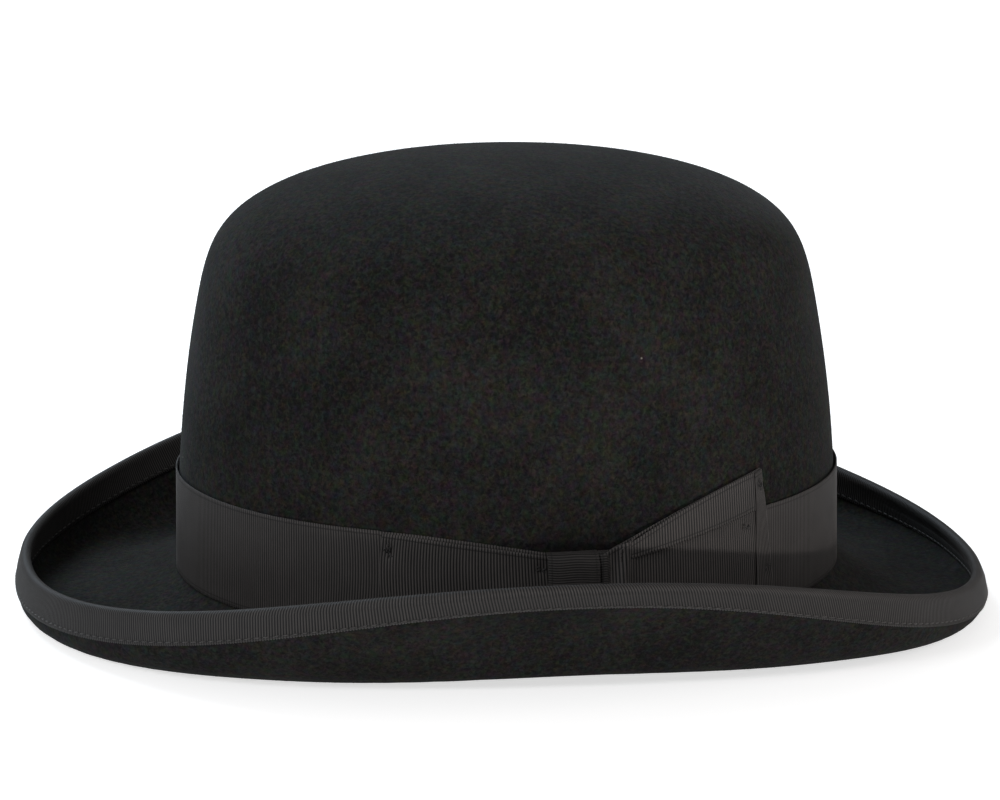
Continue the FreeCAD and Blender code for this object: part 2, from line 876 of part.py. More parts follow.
def zigzag(sketch, width, height, pitch, line):
    """A zigzag thread as one closed outline about the sketch's origin."""
    count = int(height / pitch)
    left, right = [], []
    for i in range(count + 1):
        across = width / 2 * (1 if i % 2 else -1)
        up = -height / 2 + i * pitch
        left.append(FreeCAD.Vector(across - line, up, 0))
        right.append(FreeCAD.Vector(across + line, up, 0))
    points = left + list(reversed(right))
    for i in range(len(points)):
        sketch.addGeometry(Part.LineSegment(points[i], points[(i + 1) % len(points)]), False)


def make_sweatband_seam():
    """Zigzag stitches that join the two ends of the leather at the back of the head."""
    body = doc.addObject("PartDesign::Body", "sweatband_seam_stitches")
    sketch = body.newObject("Sketcher::SketchObject", "seam_zigzag")
    sketch.AttachmentSupport = (origin_plane(body, "XY_Plane"), [""])
    sketch.MapMode = "FlatFace"
    height = dim("seam_stitch_top") - 12.0
    zigzag(sketch, dim("seam_stitch_width"), height, dim("seam_stitch_pitch"), dim("thread_thickness") / 2)
    pad = body.newObject("PartDesign::Pad", "seam_thread")
    pad.Profile = sketch
    pad.setExpression("Length", "dims.thread_thickness")
    doc.recompute()
    body.Placement = sweat_inner(0, 12.0 + height / 2, 0.05)
    keep(body, "sweatband_seam_stitches")


def make_sweatband_bow():
    """The small flat ribbon bow sewn over the seam at the sweatband's lower edge."""
    body = doc.addObject("PartDesign::Body", "sweatband_bow")
    sketch = body.newObject("Sketcher::SketchObject", "sweatband_bow_outline")
    sketch.AttachmentSupport = (origin_plane(body, "XY_Plane"), [""])
    sketch.MapMode = "FlatFace"
    half, tall = dim("sweat_bow_width") / 2, dim("sweat_bow_height") / 2
    waist = tall * 0.4
    points = [
        (-half, -tall),
        (0, -waist),
        (half, -tall),
        (half, tall),
        (0, waist),
        (-half, tall),
    ]
    corners = [FreeCAD.Vector(x, y, 0) for x, y in points]
    for i in range(len(corners)):
        sketch.addGeometry(Part.LineSegment(corners[i], corners[(i + 1) % len(corners)]), False)
    pad = body.newObject("PartDesign::Pad", "sweatband_bow_pad")
    pad.Profile = sketch
    pad.setExpression("Length", "dims.sweat_bow_depth")
    doc.recompute()
    body.Placement = sweat_inner(0, 7.0, 1.2)
    keep(body, "sweatband_bow")


def make_size_ticket():
    body = block_body("size_ticket", "dims.ticket_width", "dims.ticket_height", "dims.ticket_thickness")
    body.Placement = sweat_inner(28, dim("ticket_level"), 1.1)
    keep(body, "size_ticket")


# ---------------------------------------------------------------- lining


def lining_share():
    return crown_share(dim("lining_ring"))


def make_lining_side():
    """The satin wall from behind the sweatband up to the tip."""
    outer_top = " * %.4f - dims.felt_thickness * 1.6" % lining_share()
    thick = "dims.satin_thickness"
    blanks = []
    middle_share = " * %.4f - dims.felt_thickness - 0.5" % crown_share(78.0)
    foot_share = " * %.4f - dims.felt_thickness - 0.5" % crown_share(dim("lining_foot"))
    for kind, less in (("outer", ""), ("inner", " - " + thick)):
        rings = []
        for tag, add, level in (
            ("foot", foot_share, "dims.lining_foot"),
            ("middle", middle_share, "78"),
            ("top", outer_top, "dims.lining_ring"),
        ):
            rings.append(oval("lining_" + kind + "_" + tag, LONG + add + less, WIDE + add + less, level))
        blanks.append(loft("lining_side_" + kind, rings))
    cut = doc.addObject("Part::Cut", "lining_side")
    cut.Base, cut.Tool = blanks
    doc.recompute()
    keep(cut, "lining_side")


def make_lining_tip():
    """The domed oval piece of satin under the crown's top."""
    felt, thick = dim("felt_thickness"), dim("satin_thickness")
    rings = []
    edge = dim("lining_ring") + 0.8
    top = dim("crown_height") - felt - 2.0
    long = dim("crown_half_length") * lining_share() - felt * 1.6 - 2.6
    wide = dim("crown_half_width") * lining_share() - felt * 1.6 - 2.6
    shares = [0.03, 0.15, 0.3, 0.45, 0.6, 0.72, 0.82, 0.91, 0.97, 1.0]

    def level(share):
        return edge + (top - edge) * (1 - share ** 2.6)

    for drop in (0.0, thick):
        skin = []
        for share in shares:
            ring = [
                FreeCAD.Vector(wide * share * math.sin(a), long * share * math.cos(a), level(share) - drop)
                for a in ANGLES
            ]
            skin.append(ring)
        rings.append(skin)
    upper, lower = rings
    side = ring_surface([upper[-1], lower[-1]])
    faces = [ring_surface(upper), side, ring_surface(lower)]
    for face in (faces[0], faces[2]):
        tops = [e for e in face.Edges if e.BoundBox.ZLength < 1e-3 and e.BoundBox.XLength < wide * 0.2]
        faces.append(Part.Face(Part.Wire(tops[:1])))
    shape_node("lining_tip", solid_from(faces))


def make_lining_piping():
    offset_long = dim("crown_half_length") * (1 - lining_share()) + dim("felt_thickness") * 1.6 + 1.6
    offset_wide = dim("crown_half_width") * (1 - lining_share()) + dim("felt_thickness") * 1.6 + 1.6
    radius = dim("piping_radius")
    rings = []
    for k in range(9):
        turn = 2 * math.pi * k / 8
        long = dim("crown_half_length") - offset_long + radius * math.cos(turn)
        wide = dim("crown_half_width") - offset_wide + radius * math.cos(turn)
        level = dim("lining_ring") - 0.4 + radius * math.sin(turn)
        rings.append([FreeCAD.Vector(wide * math.sin(a), long * math.cos(a), level) for a in ANGLES])
    shape_node("lining_piping", ring_solid(rings[:5], rings[4:]))


# ---------------------------------------------------------------- build, check and write

make_felt_body()
make_brim_binding()
make_binding_stitching()
make_hat_band()
make_bow_front_wing()
make_bow_rear_wing()
make_bow_rear_pleat()
make_bow_rear_hem()
make_bow_knot()
make_bow_knot_tuck()
make_stitch_groups()
make_sweatband()
make_sweatband_reed()
make_sweatband_tape()
make_sweatband_stitching()
make_sweatband_seam()
make_sweatband_bow()
make_size_ticket()
make_lining_side()
make_lining_tip()
make_lining_piping()

doc.recompute()

for obj in doc.Objects:
    if "Invalid" in obj.State or "Error" in obj.State:
        raise RuntimeError("%s did not compute: %s" % (obj.Name, obj.State))

for name, obj in NODES:
    shape = obj.Shape
    if shape.isNull() or not shape.isValid() or not shape.Solids:
        raise RuntimeError("%s has no sound solid" % name)
    if shape.Volume <= 0:
        raise RuntimeError("%s is inside out" % name)
    box = shape.BoundBox
    print(
        "%-26s %9.1f mm3  x %7.2f %7.2f  y %7.2f %7.2f  z %7.2f %7.2f"
        % (name, shape.Volume, box.XMin, box.XMax, box.YMin, box.YMax, box.ZMin, box.ZMax)
    )
    shape.exportStep("parts/" + name + ".step")
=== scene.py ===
import math

import bpy
import numpy as np
from bpy.props import FloatProperty, FloatVectorProperty, IntProperty, PointerProperty
from mathutils import Matrix, Vector


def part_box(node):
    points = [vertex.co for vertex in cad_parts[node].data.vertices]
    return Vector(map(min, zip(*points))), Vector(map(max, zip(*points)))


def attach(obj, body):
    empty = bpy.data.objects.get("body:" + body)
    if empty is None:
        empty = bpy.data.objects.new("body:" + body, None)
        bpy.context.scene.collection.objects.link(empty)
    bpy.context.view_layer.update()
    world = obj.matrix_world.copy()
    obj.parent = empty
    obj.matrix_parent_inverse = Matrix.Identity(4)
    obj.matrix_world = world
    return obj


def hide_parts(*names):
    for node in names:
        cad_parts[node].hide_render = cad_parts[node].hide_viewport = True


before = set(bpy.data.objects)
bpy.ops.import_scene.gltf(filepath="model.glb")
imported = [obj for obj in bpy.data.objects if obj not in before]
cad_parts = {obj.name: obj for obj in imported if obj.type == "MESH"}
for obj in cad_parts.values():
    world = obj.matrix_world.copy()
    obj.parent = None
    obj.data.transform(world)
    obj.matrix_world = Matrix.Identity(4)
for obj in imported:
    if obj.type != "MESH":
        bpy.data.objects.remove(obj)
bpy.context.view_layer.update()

bl_info = {
    "name": "Bowler hat",
    "version": (1, 0, 0),
    "blender": (4, 5, 0),
    "location": "3D View > Sidebar > Hat",
    "description": "Felt bowler hat with grosgrain binding, band and side bow, sweatband and lining",
    "category": "Object",
}

# The hat's own frame: +Z up, -Y the front, +X the wearer's left. Angle 0 is the back, half a turn the front,
# and the bow is at a quarter turn. Heights start at the crown's base, where the crown turns into the brim.
CROWN_OUTLINE = ((1.0, 0.0), (0.997, 0.33), (0.921, 0.70), (0.859, 0.900), (0.414, 1.0), (0.0, 1.0))
CROWN_KNOTS = (0, 0, 0, 0, 1 / 3, 2 / 3, 1, 1, 1, 1)
BRIM_KNOTS = (0, 0, 0, 0, 0.5, 1, 1, 1, 1)
BREAK_RADIUS = 0.0015
CROWN_LEAN = -0.008
# brim values at the front, the sides and the back
CURL = (0.0154, 0.0190, 0.0127)
CURL_LEAN = (18.2, -48.0, 31.0)
CURL_FOOT = (-0.0102, -0.0113, -0.0122)
BRIM_SPRING = 0.304
RIM_SQUARENESS = 2.16
REST_TILT = 0.0013
SEAT_SHIFT = (0.0022, 0.01114)
KNOT_ANGLE, TUCK_ANGLE = 89.1, 84.0
# where the binding's ribs slant: the middle and spread of each stretch in degrees,
# and how much they slant there
BINDING_SLANT = ((66.0, 30.0, 0.80), (128.0, 17.0, -0.24))
WING_FRONT, WING_REAR, HEM = (120.5, 91.7), (84.5, 49.8), 54.0
TACKS = {
    "bow_front_tacks": ((119.3, 0.0281), (119.0, 0.0266), (94.2, 0.0227)),
    "bow_rear_tacks": ((53.2, 0.0410), (52.6, 0.0394), (56.4, 0.0282), (51.6, 0.0141)),
    "band_lower_stitches": ((137.9, 0.0026), (137.9, 0.0044)),
}


# ---------------------------------------------------------------- settings


def length(name, default, description, low=0.0, high=1.0):
    return FloatProperty(
        name=name, description=description, default=default, min=low, max=high, unit="LENGTH", precision=5
    )


def colour(name, default, description):
    return FloatVectorProperty(
        name=name, description=description, default=default, size=3, min=0.0, max=1.0, subtype="COLOR"
    )


class HatSizes(bpy.types.PropertyGroup):
    crown_half_length: length("Crown half length", 0.1060, "Half of the crown's length at its base")
    crown_half_width: length("Crown half width", 0.0904, "Half of the crown's width at its base")
    crown_height: length("Crown height", 0.1318, "Height of the crown over the brim")
    felt_thickness: length("Felt thickness", 0.0023, "Thickness of the felt")
    brim_front: length("Brim front", 0.1542, "Reach of the brim's front edge")
    brim_back: length("Brim back", 0.1492, "Reach of the brim's back edge")
    brim_half_width: length("Brim half width", 0.1308, "Half of the brim's width over the curled sides")
    ribbon_thickness: length("Ribbon thickness", 0.00055, "Thickness of the grosgrain ribbon")
    binding_reach: length("Binding reach", 0.0086, "How far the binding comes down each face of the brim")
    band_bottom: length("Band bottom", 0.0013, "Lower edge of the hat band")
    band_top: length("Band top", 0.0330, "Upper edge of the hat band")
    rib_pitch: length("Rib pitch", 0.00087, "Distance between the ribs of the grosgrain")
    rib_height: length("Rib height", 0.00015, "Height of the grosgrain's ribs")
    knot_rib_pitch: length("Knot rib pitch", 0.00074, "Distance between the ribs of the bow's knot")
    stitch_pitch: length("Stitch pitch", 0.0030, "Distance between the stitches of the binding")
    thread: length("Thread", 0.00042, "Thickness of the sewing thread")
    nap_length: length("Nap length", 0.00075, "Length of the felt's loose fibres")
    nap_fibres: IntProperty(name="Nap fibres", description="Number of loose fibres", default=42000, min=0)
    seed: IntProperty(name="Seed", description="Seed of every random pattern", default=7, min=0)


class HatFinishes(bpy.types.PropertyGroup):
    felt: colour("Felt", (0.0050, 0.0052, 0.0049), "Black fur felt")
    felt_light: colour(
        "Felt, raised fibres", (0.046, 0.044, 0.039), "Where the felt's fibres catch the light"
    )
    grosgrain: colour("Grosgrain", (0.056, 0.051, 0.0490), "Black grosgrain ribbon")
    thread: colour("Thread", (0.050, 0.046, 0.043), "Black sewing thread")
    light_thread: colour("Light thread", (0.42, 0.33, 0.22), "Thread of the sweatband")
    leather: colour("Leather", (0.20, 0.088, 0.036), "Sweatband leather")
    satin: colour("Satin", (0.55, 0.47, 0.36), "Lining satin")
    ticket: colour("Ticket", (0.80, 0.76, 0.66), "Paper size ticket")
    floor: colour("Floor", (0.86, 0.86, 0.86), "Studio floor")


def sizes():
    return bpy.context.scene.hat_sizes


def finishes():
    return bpy.context.scene.hat_finishes


# ---------------------------------------------------------------- the blocked shape


def spline_weights(knots, count, at):
    """Share of each control point at each place along a clamped cubic line."""
    at, knots = np.asarray(at, float), np.asarray(knots, float)
    layers = [((at >= knots[i]) & (at < knots[i + 1])).astype(float) for i in range(len(knots) - 1)]
    layers[count - 1][at >= knots[-1]] = 1.0
    for degree in (1, 2, 3):
        merged = []
        for i in range(len(layers) - 1):
            value = np.zeros_like(at)
            left, right = knots[i + degree] - knots[i], knots[i + degree + 1] - knots[i + 1]
            if left:
                value += (at - knots[i]) / left * layers[i]
            if right:
                value += (knots[i + degree + 1] - at) / right * layers[i + 1]
            merged.append(value)
        layers = merged
    return np.stack(layers, 1)


OUTLINE_STEPS = np.linspace(0, 1, 1200)
OUTLINE = spline_weights(CROWN_KNOTS, 6, OUTLINE_STEPS) @ np.array(CROWN_OUTLINE)


def crown_share(height):
    """Share of its half sizes that the crown keeps at a height."""
    return np.interp(np.asarray(height) / sizes().crown_height, OUTLINE[:, 1], OUTLINE[:, 0])


def in_frame(x, y, z):
    x, y, z = np.broadcast_arrays(x, y, z)
    return np.stack([x, y, z], -1).astype(float)


def on_crown(angle, height, proud=0.0):
    s = sizes()
    share = crown_share(height)
    y = (s.crown_half_length * share + proud) * np.cos(angle) + CROWN_LEAN * np.asarray(height)
    return in_frame((s.crown_half_width * share + proud) * np.sin(angle), y, height)


def seat_matrix():
    """Stands the hat on its brim: the crown's base leans a little towards the back."""
    s = sizes()
    tilt = math.atan2(2 * REST_TILT, s.brim_front + s.brim_back - 0.043)
    return Matrix.Translation((0, *SEAT_SHIFT)) @ Matrix.Rotation(tilt, 4, "X")


def seated(points):
    turn = np.array(seat_matrix())
    return points @ turn[:3, :3].T + turn[:3, 3]


def rim(angle):
    """The top of the curled, bound edge."""
    s = sizes()
    c, n, power = np.cos(angle), np.sin(angle), 2 / RIM_SQUARENESS
    reach = np.where(c < 0, s.brim_front, s.brim_back)
    y = np.sign(c) * np.abs(c) ** power * reach + 0.0090 * n * n
    x = np.sign(n) * np.abs(n) ** power * s.brim_half_width
    z = 0.0149 - 0.0036 * c - 0.0126 * np.cos(2 * angle)
    z = z + 0.0017 * np.cos(4 * angle) + 0.0009 * np.cos(3 * angle)
    return in_frame(x, y, z)


def around_brim(angle, values):
    front, side, back = values
    c = np.cos(angle)
    return side * (1 - c * c) + np.where(c < 0, front, back) * c * c


def eased(share):
    share = np.clip(share, 0, 1)
    return share * share * (3 - 2 * share)


BRIM_SAMPLES = 181


def brim_lines(angle):
    """Middle of the brim's felt at each angle: its start, the way out and its points as (out, up)."""
    s = sizes()
    half = s.felt_thickness / 2
    edge, base = rim(angle), on_crown(angle, 0.0)
    flat = edge[:, :2] - base[:, :2]
    reach = np.linalg.norm(flat, axis=1)
    top = edge[:, 2] - half - s.ribbon_thickness
    lean, curl = np.radians(around_brim(angle, CURL_LEAN)), around_brim(angle, CURL)
    outer = reach + curl * np.sin(lean)
    c = np.cos(angle)
    wanted = -0.0109 - REST_TILT * c + 0.0038 * eased((0.80 - np.abs(c)) / 0.80) + half
    weights = spline_weights(BRIM_KNOTS, 5, np.linspace(0, 1, BRIM_SAMPLES))
    low, high = wanted - 0.025, wanted + 0.006
    zero = np.zeros_like(reach)
    across = np.stack([zero, BRIM_SPRING * reach, outer + around_brim(angle, CURL_FOOT), outer, reach], 1)
    for _ in range(26):
        level = (low + high) / 2
        up = np.stack([zero - half, level, level, top - curl * np.cos(lean), top], 1)
        heights = up @ weights.T
        above = heights[:, 9:].min(1) > wanted
        low, high = np.where(above, low, level), np.where(above, level, high)
    return base, flat / reach[:, None], np.stack([across @ weights.T, heights], -1)


def along_brim(lines, marks):
    """Points and lower-side normals of each line at distances from its outer end."""
    points, normals, lengths = [], [], []
    for line in lines:
        back = line[::-1]
        steps = np.r_[0, np.cumsum(np.hypot(*np.diff(back, axis=0).T))]
        tangent = -np.gradient(back, steps, axis=0)
        tangent /= np.linalg.norm(tangent, axis=1)[:, None]
        here = marks(steps[-1]) if callable(marks) else marks
        px, py = (np.interp(here, steps, back[:, k]) for k in (0, 1))
        tx, ty = (np.interp(here, steps, tangent[:, k]) for k in (0, 1))
        points.append(np.stack([px, py], -1))
        normals.append(np.stack([ty, -tx], -1))
        lengths.append(steps[-1])
    return np.array(points), np.array(normals), np.array(lengths)


def from_brim(base, outward, flat):
    """Turns (out, up) points of each angle into the hat's frame: rows across, columns round the hat."""
    x = base[:, None, 0] + outward[:, None, 0] * flat[..., 0]
    y = base[:, None, 1] + outward[:, None, 1] * flat[..., 0]
    return np.swapaxes(in_frame(x, y, flat[..., 1]), 0, 1)


def turned_edge(lines, marks, off, turns):
    """Up the lower face, over the edge and down the upper face, at a distance off the felt's middle."""
    points, normals, _ = along_brim(lines, marks)
    lower, upper = points + off * normals, points - off * normals
    end, way = points[:, -1], normals[:, -1]
    start = np.arctan2(way[:, 1], way[:, 0])
    angles = start[:, None] + np.pi * np.arange(1, turns)[None] / turns
    cap = end[:, None] + off * np.stack([np.cos(angles), np.sin(angles)], -1)
    return np.concatenate([lower, cap, upper[:, ::-1]], 1)


def even_angles(path, count):
    """Angles that divide a closed path evenly. path gives points for angles."""
    fine = np.linspace(0, 2 * np.pi, 2881)
    points = path(fine)
    steps = np.r_[0, np.cumsum(np.linalg.norm(np.diff(points, axis=0), axis=1))]
    wanted = np.arange(count) * steps[-1] / count
    return np.interp(wanted, steps, fine), steps[-1]


def round_length(path):
    return even_angles(path, 4)[1]


# ---------------------------------------------------------------- meshes


def grid_faces(rows, columns, close_rows, close_columns):
    r = np.arange(rows if close_rows else rows - 1)
    c = np.arange(columns if close_columns else columns - 1)
    a, b = np.meshgrid(r, c, indexing="ij")
    a, b = a.ravel(), b.ravel()
    up, on = (a + 1) % rows, (b + 1) % columns
    return np.stack([a * columns + b, a * columns + on, up * columns + on, up * columns + b], 1)


def piece(name, points, faces, values=None, smooth=True):
    """A mesh object at the origin. values are point attributes, one number or vector for each point."""
    points = seated(np.asarray(points, float).reshape(-1, 3))
    faces = [tuple(int(i) for i in f) for f in faces]
    tri = np.array([(f[0], f[k], f[k + 1]) for f in faces for k in range(1, len(f) - 1)])
    a, b, c = points[tri[:, 0]], points[tri[:, 1]], points[tri[:, 2]]
    middle = points.mean(0)
    if np.einsum("ij,ij->", a - middle, np.cross(b - middle, c - middle)) < 0:
        faces = [f[::-1] for f in faces]
    mesh = bpy.data.meshes.new(name)
    mesh.from_pydata(points.tolist(), [], faces)
    if smooth:
        mesh.polygons.foreach_set("use_smooth", np.ones(len(faces), bool))
    for key, data in (values or {}).items():
        data = np.asarray(data, np.float32)
        vector = data.size == 3 * len(points)
        layer = mesh.attributes.new(key, "FLOAT_VECTOR" if vector else "FLOAT", "POINT")
        layer.data.foreach_set("vector" if vector else "value", data.ravel())
    mesh.validate()
    obj = bpy.data.objects.new(name, mesh)
    bpy.context.scene.collection.objects.link(obj)
    return obj


def capped_faces(rows, columns):
    """Faces of a flat tube with shut ends; the first half of its rows is the outer side."""
    faces = list(map(tuple, grid_faces(rows, columns, True, False)))
    for column, way in ((0, 1), (columns - 1, -1)):
        for i in range(rows // 2 - 1):
            quad = (i, i + 1, rows - 2 - i, rows - 1 - i)[::way]
            faces.append(tuple(k * columns + column for k in quad))
    return faces


def ribbon_shell(name, outer, inner, run, across, closed, edge_lift=1.0):
    """A ribbon with thickness from its outer and inner sides, rows across it and columns along it."""
    rows = outer.shape[0]
    out_edge = outer[[0, -1]] - outer[[1, -2]]
    out_edge /= np.linalg.norm(out_edge, axis=2, keepdims=True)
    points = np.concatenate([outer, inner[::-1]])
    total, columns = points.shape[:2]
    raised = np.zeros((total, columns))
    raised[:rows] = 1.0
    edge_way = np.zeros((total, columns, 3))
    turned = np.array(seat_matrix())[:3, :3]
    for row, way in ((0, out_edge[0]), (rows - 1, out_edge[1])):
        raised[row] = edge_lift
        edge_way[row] = way @ turned.T
    run_all = np.broadcast_to(run, (rows, columns)) if run.ndim == 1 else run
    across_all = np.broadcast_to(across[:, None], (rows, columns)) if across.ndim == 1 else across
    pick = np.round(np.linspace(0, rows - 1, inner.shape[0])).astype(int)[::-1]
    steps = np.linalg.norm(np.diff(outer, axis=0), axis=2)
    from_foot = np.concatenate([np.zeros((1, columns)), np.cumsum(steps, axis=0)])
    margin = np.minimum(from_foot, from_foot[-1] - from_foot)
    values = {
        "run": np.concatenate([run_all, run_all[pick]]),
        "across": np.concatenate([across_all, across_all[pick]]),
        "margin": np.concatenate([margin, margin[pick]]),
        "raised": raised,
        "edge_way": edge_way,
    }
    faces = grid_faces(total, columns, True, True) if closed else capped_faces(total, columns)
    return piece(name, points, faces, values)


def settle(obj, replaced=()):
    """Every piece rides on the hat's one body; the solids it replaces are hidden."""
    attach(obj, "root")
    if replaced:
        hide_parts(*replaced)
    return obj


# ---------------------------------------------------------------- geometry node trees


class Tree:
    """A node tree under construction: adds nodes and joins sockets by name or place."""

    def __init__(self, name, kind, inputs, outputs):
        self.tree = bpy.data.node_groups.new(name, kind)
        for way, sockets in (("INPUT", inputs), ("OUTPUT", outputs)):
            for label, socket_type, default in sockets:
                socket_type = "NodeSocket" + socket_type
                socket = self.tree.interface.new_socket(label, in_out=way, socket_type=socket_type)
                if default is not None:
                    socket.default_value = default
        self.given = self.tree.nodes.new("NodeGroupInput")
        self.result = self.tree.nodes.new("NodeGroupOutput")

    def put(self, kind, values=None, **settings):
        node = self.tree.nodes.new(kind)
        for key, value in settings.items():
            setattr(node, key, value)
        for key, value in (values or {}).items():
            if isinstance(value, bpy.types.NodeSocket):
                self.tree.links.new(value, node.inputs[key])
            else:
                node.inputs[key].default_value = value
        return node

    def math(self, operation, one, other=0.0, third=0.0):
        node = self.put("ShaderNodeMath", {0: one, 1: other, 2: third}, operation=operation)
        return node.outputs[0]

    def vector(self, operation, one, other=None, scale=None):
        values = {0: one}
        if other is not None:
            values[1] = other
        if scale is not None:
            values["Scale"] = scale
        return self.put("ShaderNodeVectorMath", values, operation=operation).outputs[0]

    def attribute(self, name, kind="FLOAT"):
        node = self.put("GeometryNodeInputNamedAttribute", {"Name": name}, data_type=kind)
        return node.outputs["Attribute"]

    def finish(self, label, socket):
        self.tree.links.new(socket, self.result.inputs[label])


def ribbing_tree():
    """Raises the cross ribs of grosgrain along a ribbon, with rib ends that stand out of its edges."""
    if "grosgrain_ribs" in bpy.data.node_groups:
        return bpy.data.node_groups["grosgrain_ribs"]
    inputs = [
        ("Geometry", "Geometry", None),
        ("Rib Pitch", "Float", 0.001),
        ("Rib Height", "Float", 0.00015),
        ("Edge Loops", "Float", 0.0001),
        ("Irregularity", "Float", 0.12),
        ("Seed", "Float", 1.0),
        ("Material", "Material", None),
    ]
    t = Tree("grosgrain_ribs", "GeometryNodeTree", inputs, [("Geometry", "Geometry", None)])
    given = t.given.outputs
    place = t.put("GeometryNodeInputPosition").outputs[0]
    wander = t.put(
        "ShaderNodeTexNoise", {"Vector": place, "W": given["Seed"], "Scale": 260.0}, noise_dimensions="4D"
    ).outputs[0]
    slow = t.put(
        "ShaderNodeTexNoise", {"Vector": place, "W": given["Seed"], "Scale": 45.0}, noise_dimensions="4D"
    ).outputs[0]
    shift = t.math("MULTIPLY", t.math("SUBTRACT", wander, 0.5), given["Irregularity"])
    turn = t.math("ADD", t.math("DIVIDE", t.attribute("run"), given["Rib Pitch"]), shift)
    wave = t.math("ABSOLUTE", t.math("SINE", t.math("MULTIPLY", turn, math.pi)))
    wave = t.math("POWER", wave, 0.8)
    height = t.math("MULTIPLY", wave, t.math("MULTIPLY", given["Rib Height"], t.attribute("raised")))
    height = t.math("MULTIPLY", height, t.math("ADD", t.math("MULTIPLY", slow, 0.7), 0.65))
    normal = t.put("GeometryNodeInputNormal").outputs[0]
    offset = t.vector("SCALE", normal, scale=height)
    stand_out = t.math("MULTIPLY", wave, given["Edge Loops"])
    loops = t.vector("SCALE", t.attribute("edge_way", "FLOAT_VECTOR"), scale=stand_out)
    moved = t.put(
        "GeometryNodeSetPosition", {"Geometry": given["Geometry"], "Offset": t.vector("ADD", offset, loops)}
    ).outputs[0]
    whole = t.put("GeometryNodeRealizeInstances", {"Geometry": moved}).outputs[0]
    done = t.put("GeometryNodeSetMaterial", {"Geometry": whole, "Material": given["Material"]}).outputs[0]
    t.finish("Geometry", done)
    return t.tree


def stitch_tree():
    """Lays a stitch at even steps along a line, flat on the surface that the line follows."""
    if "stitch_row" in bpy.data.node_groups:
        return bpy.data.node_groups["stitch_row"]
    inputs = [
        ("Geometry", "Geometry", None),
        ("Pitch", "Float", 0.003),
        ("Stitch Length", "Float", 0.0022),
        ("Thread", "Float", 0.0004),
        ("Slant", "Float", 0.0),
        ("Wander", "Float", 0.2),
        ("Seed", "Int", 1),
        ("Material", "Material", None),
    ]
    t = Tree("stitch_row", "GeometryNodeTree", inputs, [("Geometry", "Geometry", None)])
    given = t.given.outputs
    curve = t.put("GeometryNodeMeshToCurve", {"Mesh": given["Geometry"]}).outputs[0]
    even = t.put(
        "GeometryNodeResampleCurve", {"Curve": curve, "Length": given["Pitch"]}, mode="LENGTH"
    ).outputs[0]
    tangent = t.put("GeometryNodeInputTangent").outputs[0]
    facing = t.attribute("facing", "FLOAT_VECTOR")
    random = t.put(
        "FunctionNodeRandomValue", {2: -1.0, 3: 1.0, "Seed": given["Seed"]}, data_type="FLOAT"
    ).outputs[1]
    sideways = t.vector("CROSS_PRODUCT", facing, tangent)
    lean = t.math("ADD", given["Slant"], t.math("MULTIPLY", random, given["Wander"]))
    along = t.vector("ADD", tangent, t.vector("SCALE", sideways, scale=lean))
    turn = t.put("FunctionNodeAlignRotationToVector", {"Vector": along}, axis="X").outputs[0]
    turn = t.put(
        "FunctionNodeAlignRotationToVector", {"Rotation": turn, "Vector": facing}, axis="Z", pivot_axis="X"
    ).outputs[0]
    blank = t.put("GeometryNodeMeshUVSphere", {"Segments": 8, "Rings": 6, "Radius": 0.5}).outputs[0]
    uneven = t.math("ADD", t.math("MULTIPLY", random, 0.08), 1.0)
    long = t.math("MULTIPLY", given["Stitch Length"], uneven)
    size = t.put("ShaderNodeCombineXYZ", {0: long, 1: given["Thread"], 2: given["Thread"]}).outputs[0]
    laid = t.put(
        "GeometryNodeInstanceOnPoints", {"Points": even, "Instance": blank, "Rotation": turn, "Scale": size}
    ).outputs[0]
    whole = t.put("GeometryNodeRealizeInstances", {"Geometry": laid}).outputs[0]
    smooth = t.put("GeometryNodeSetShadeSmooth", {0: whole}).outputs[0]
    done = t.put("GeometryNodeSetMaterial", {"Geometry": smooth, "Material": given["Material"]}).outputs[0]
    t.finish("Geometry", done)
    return t.tree


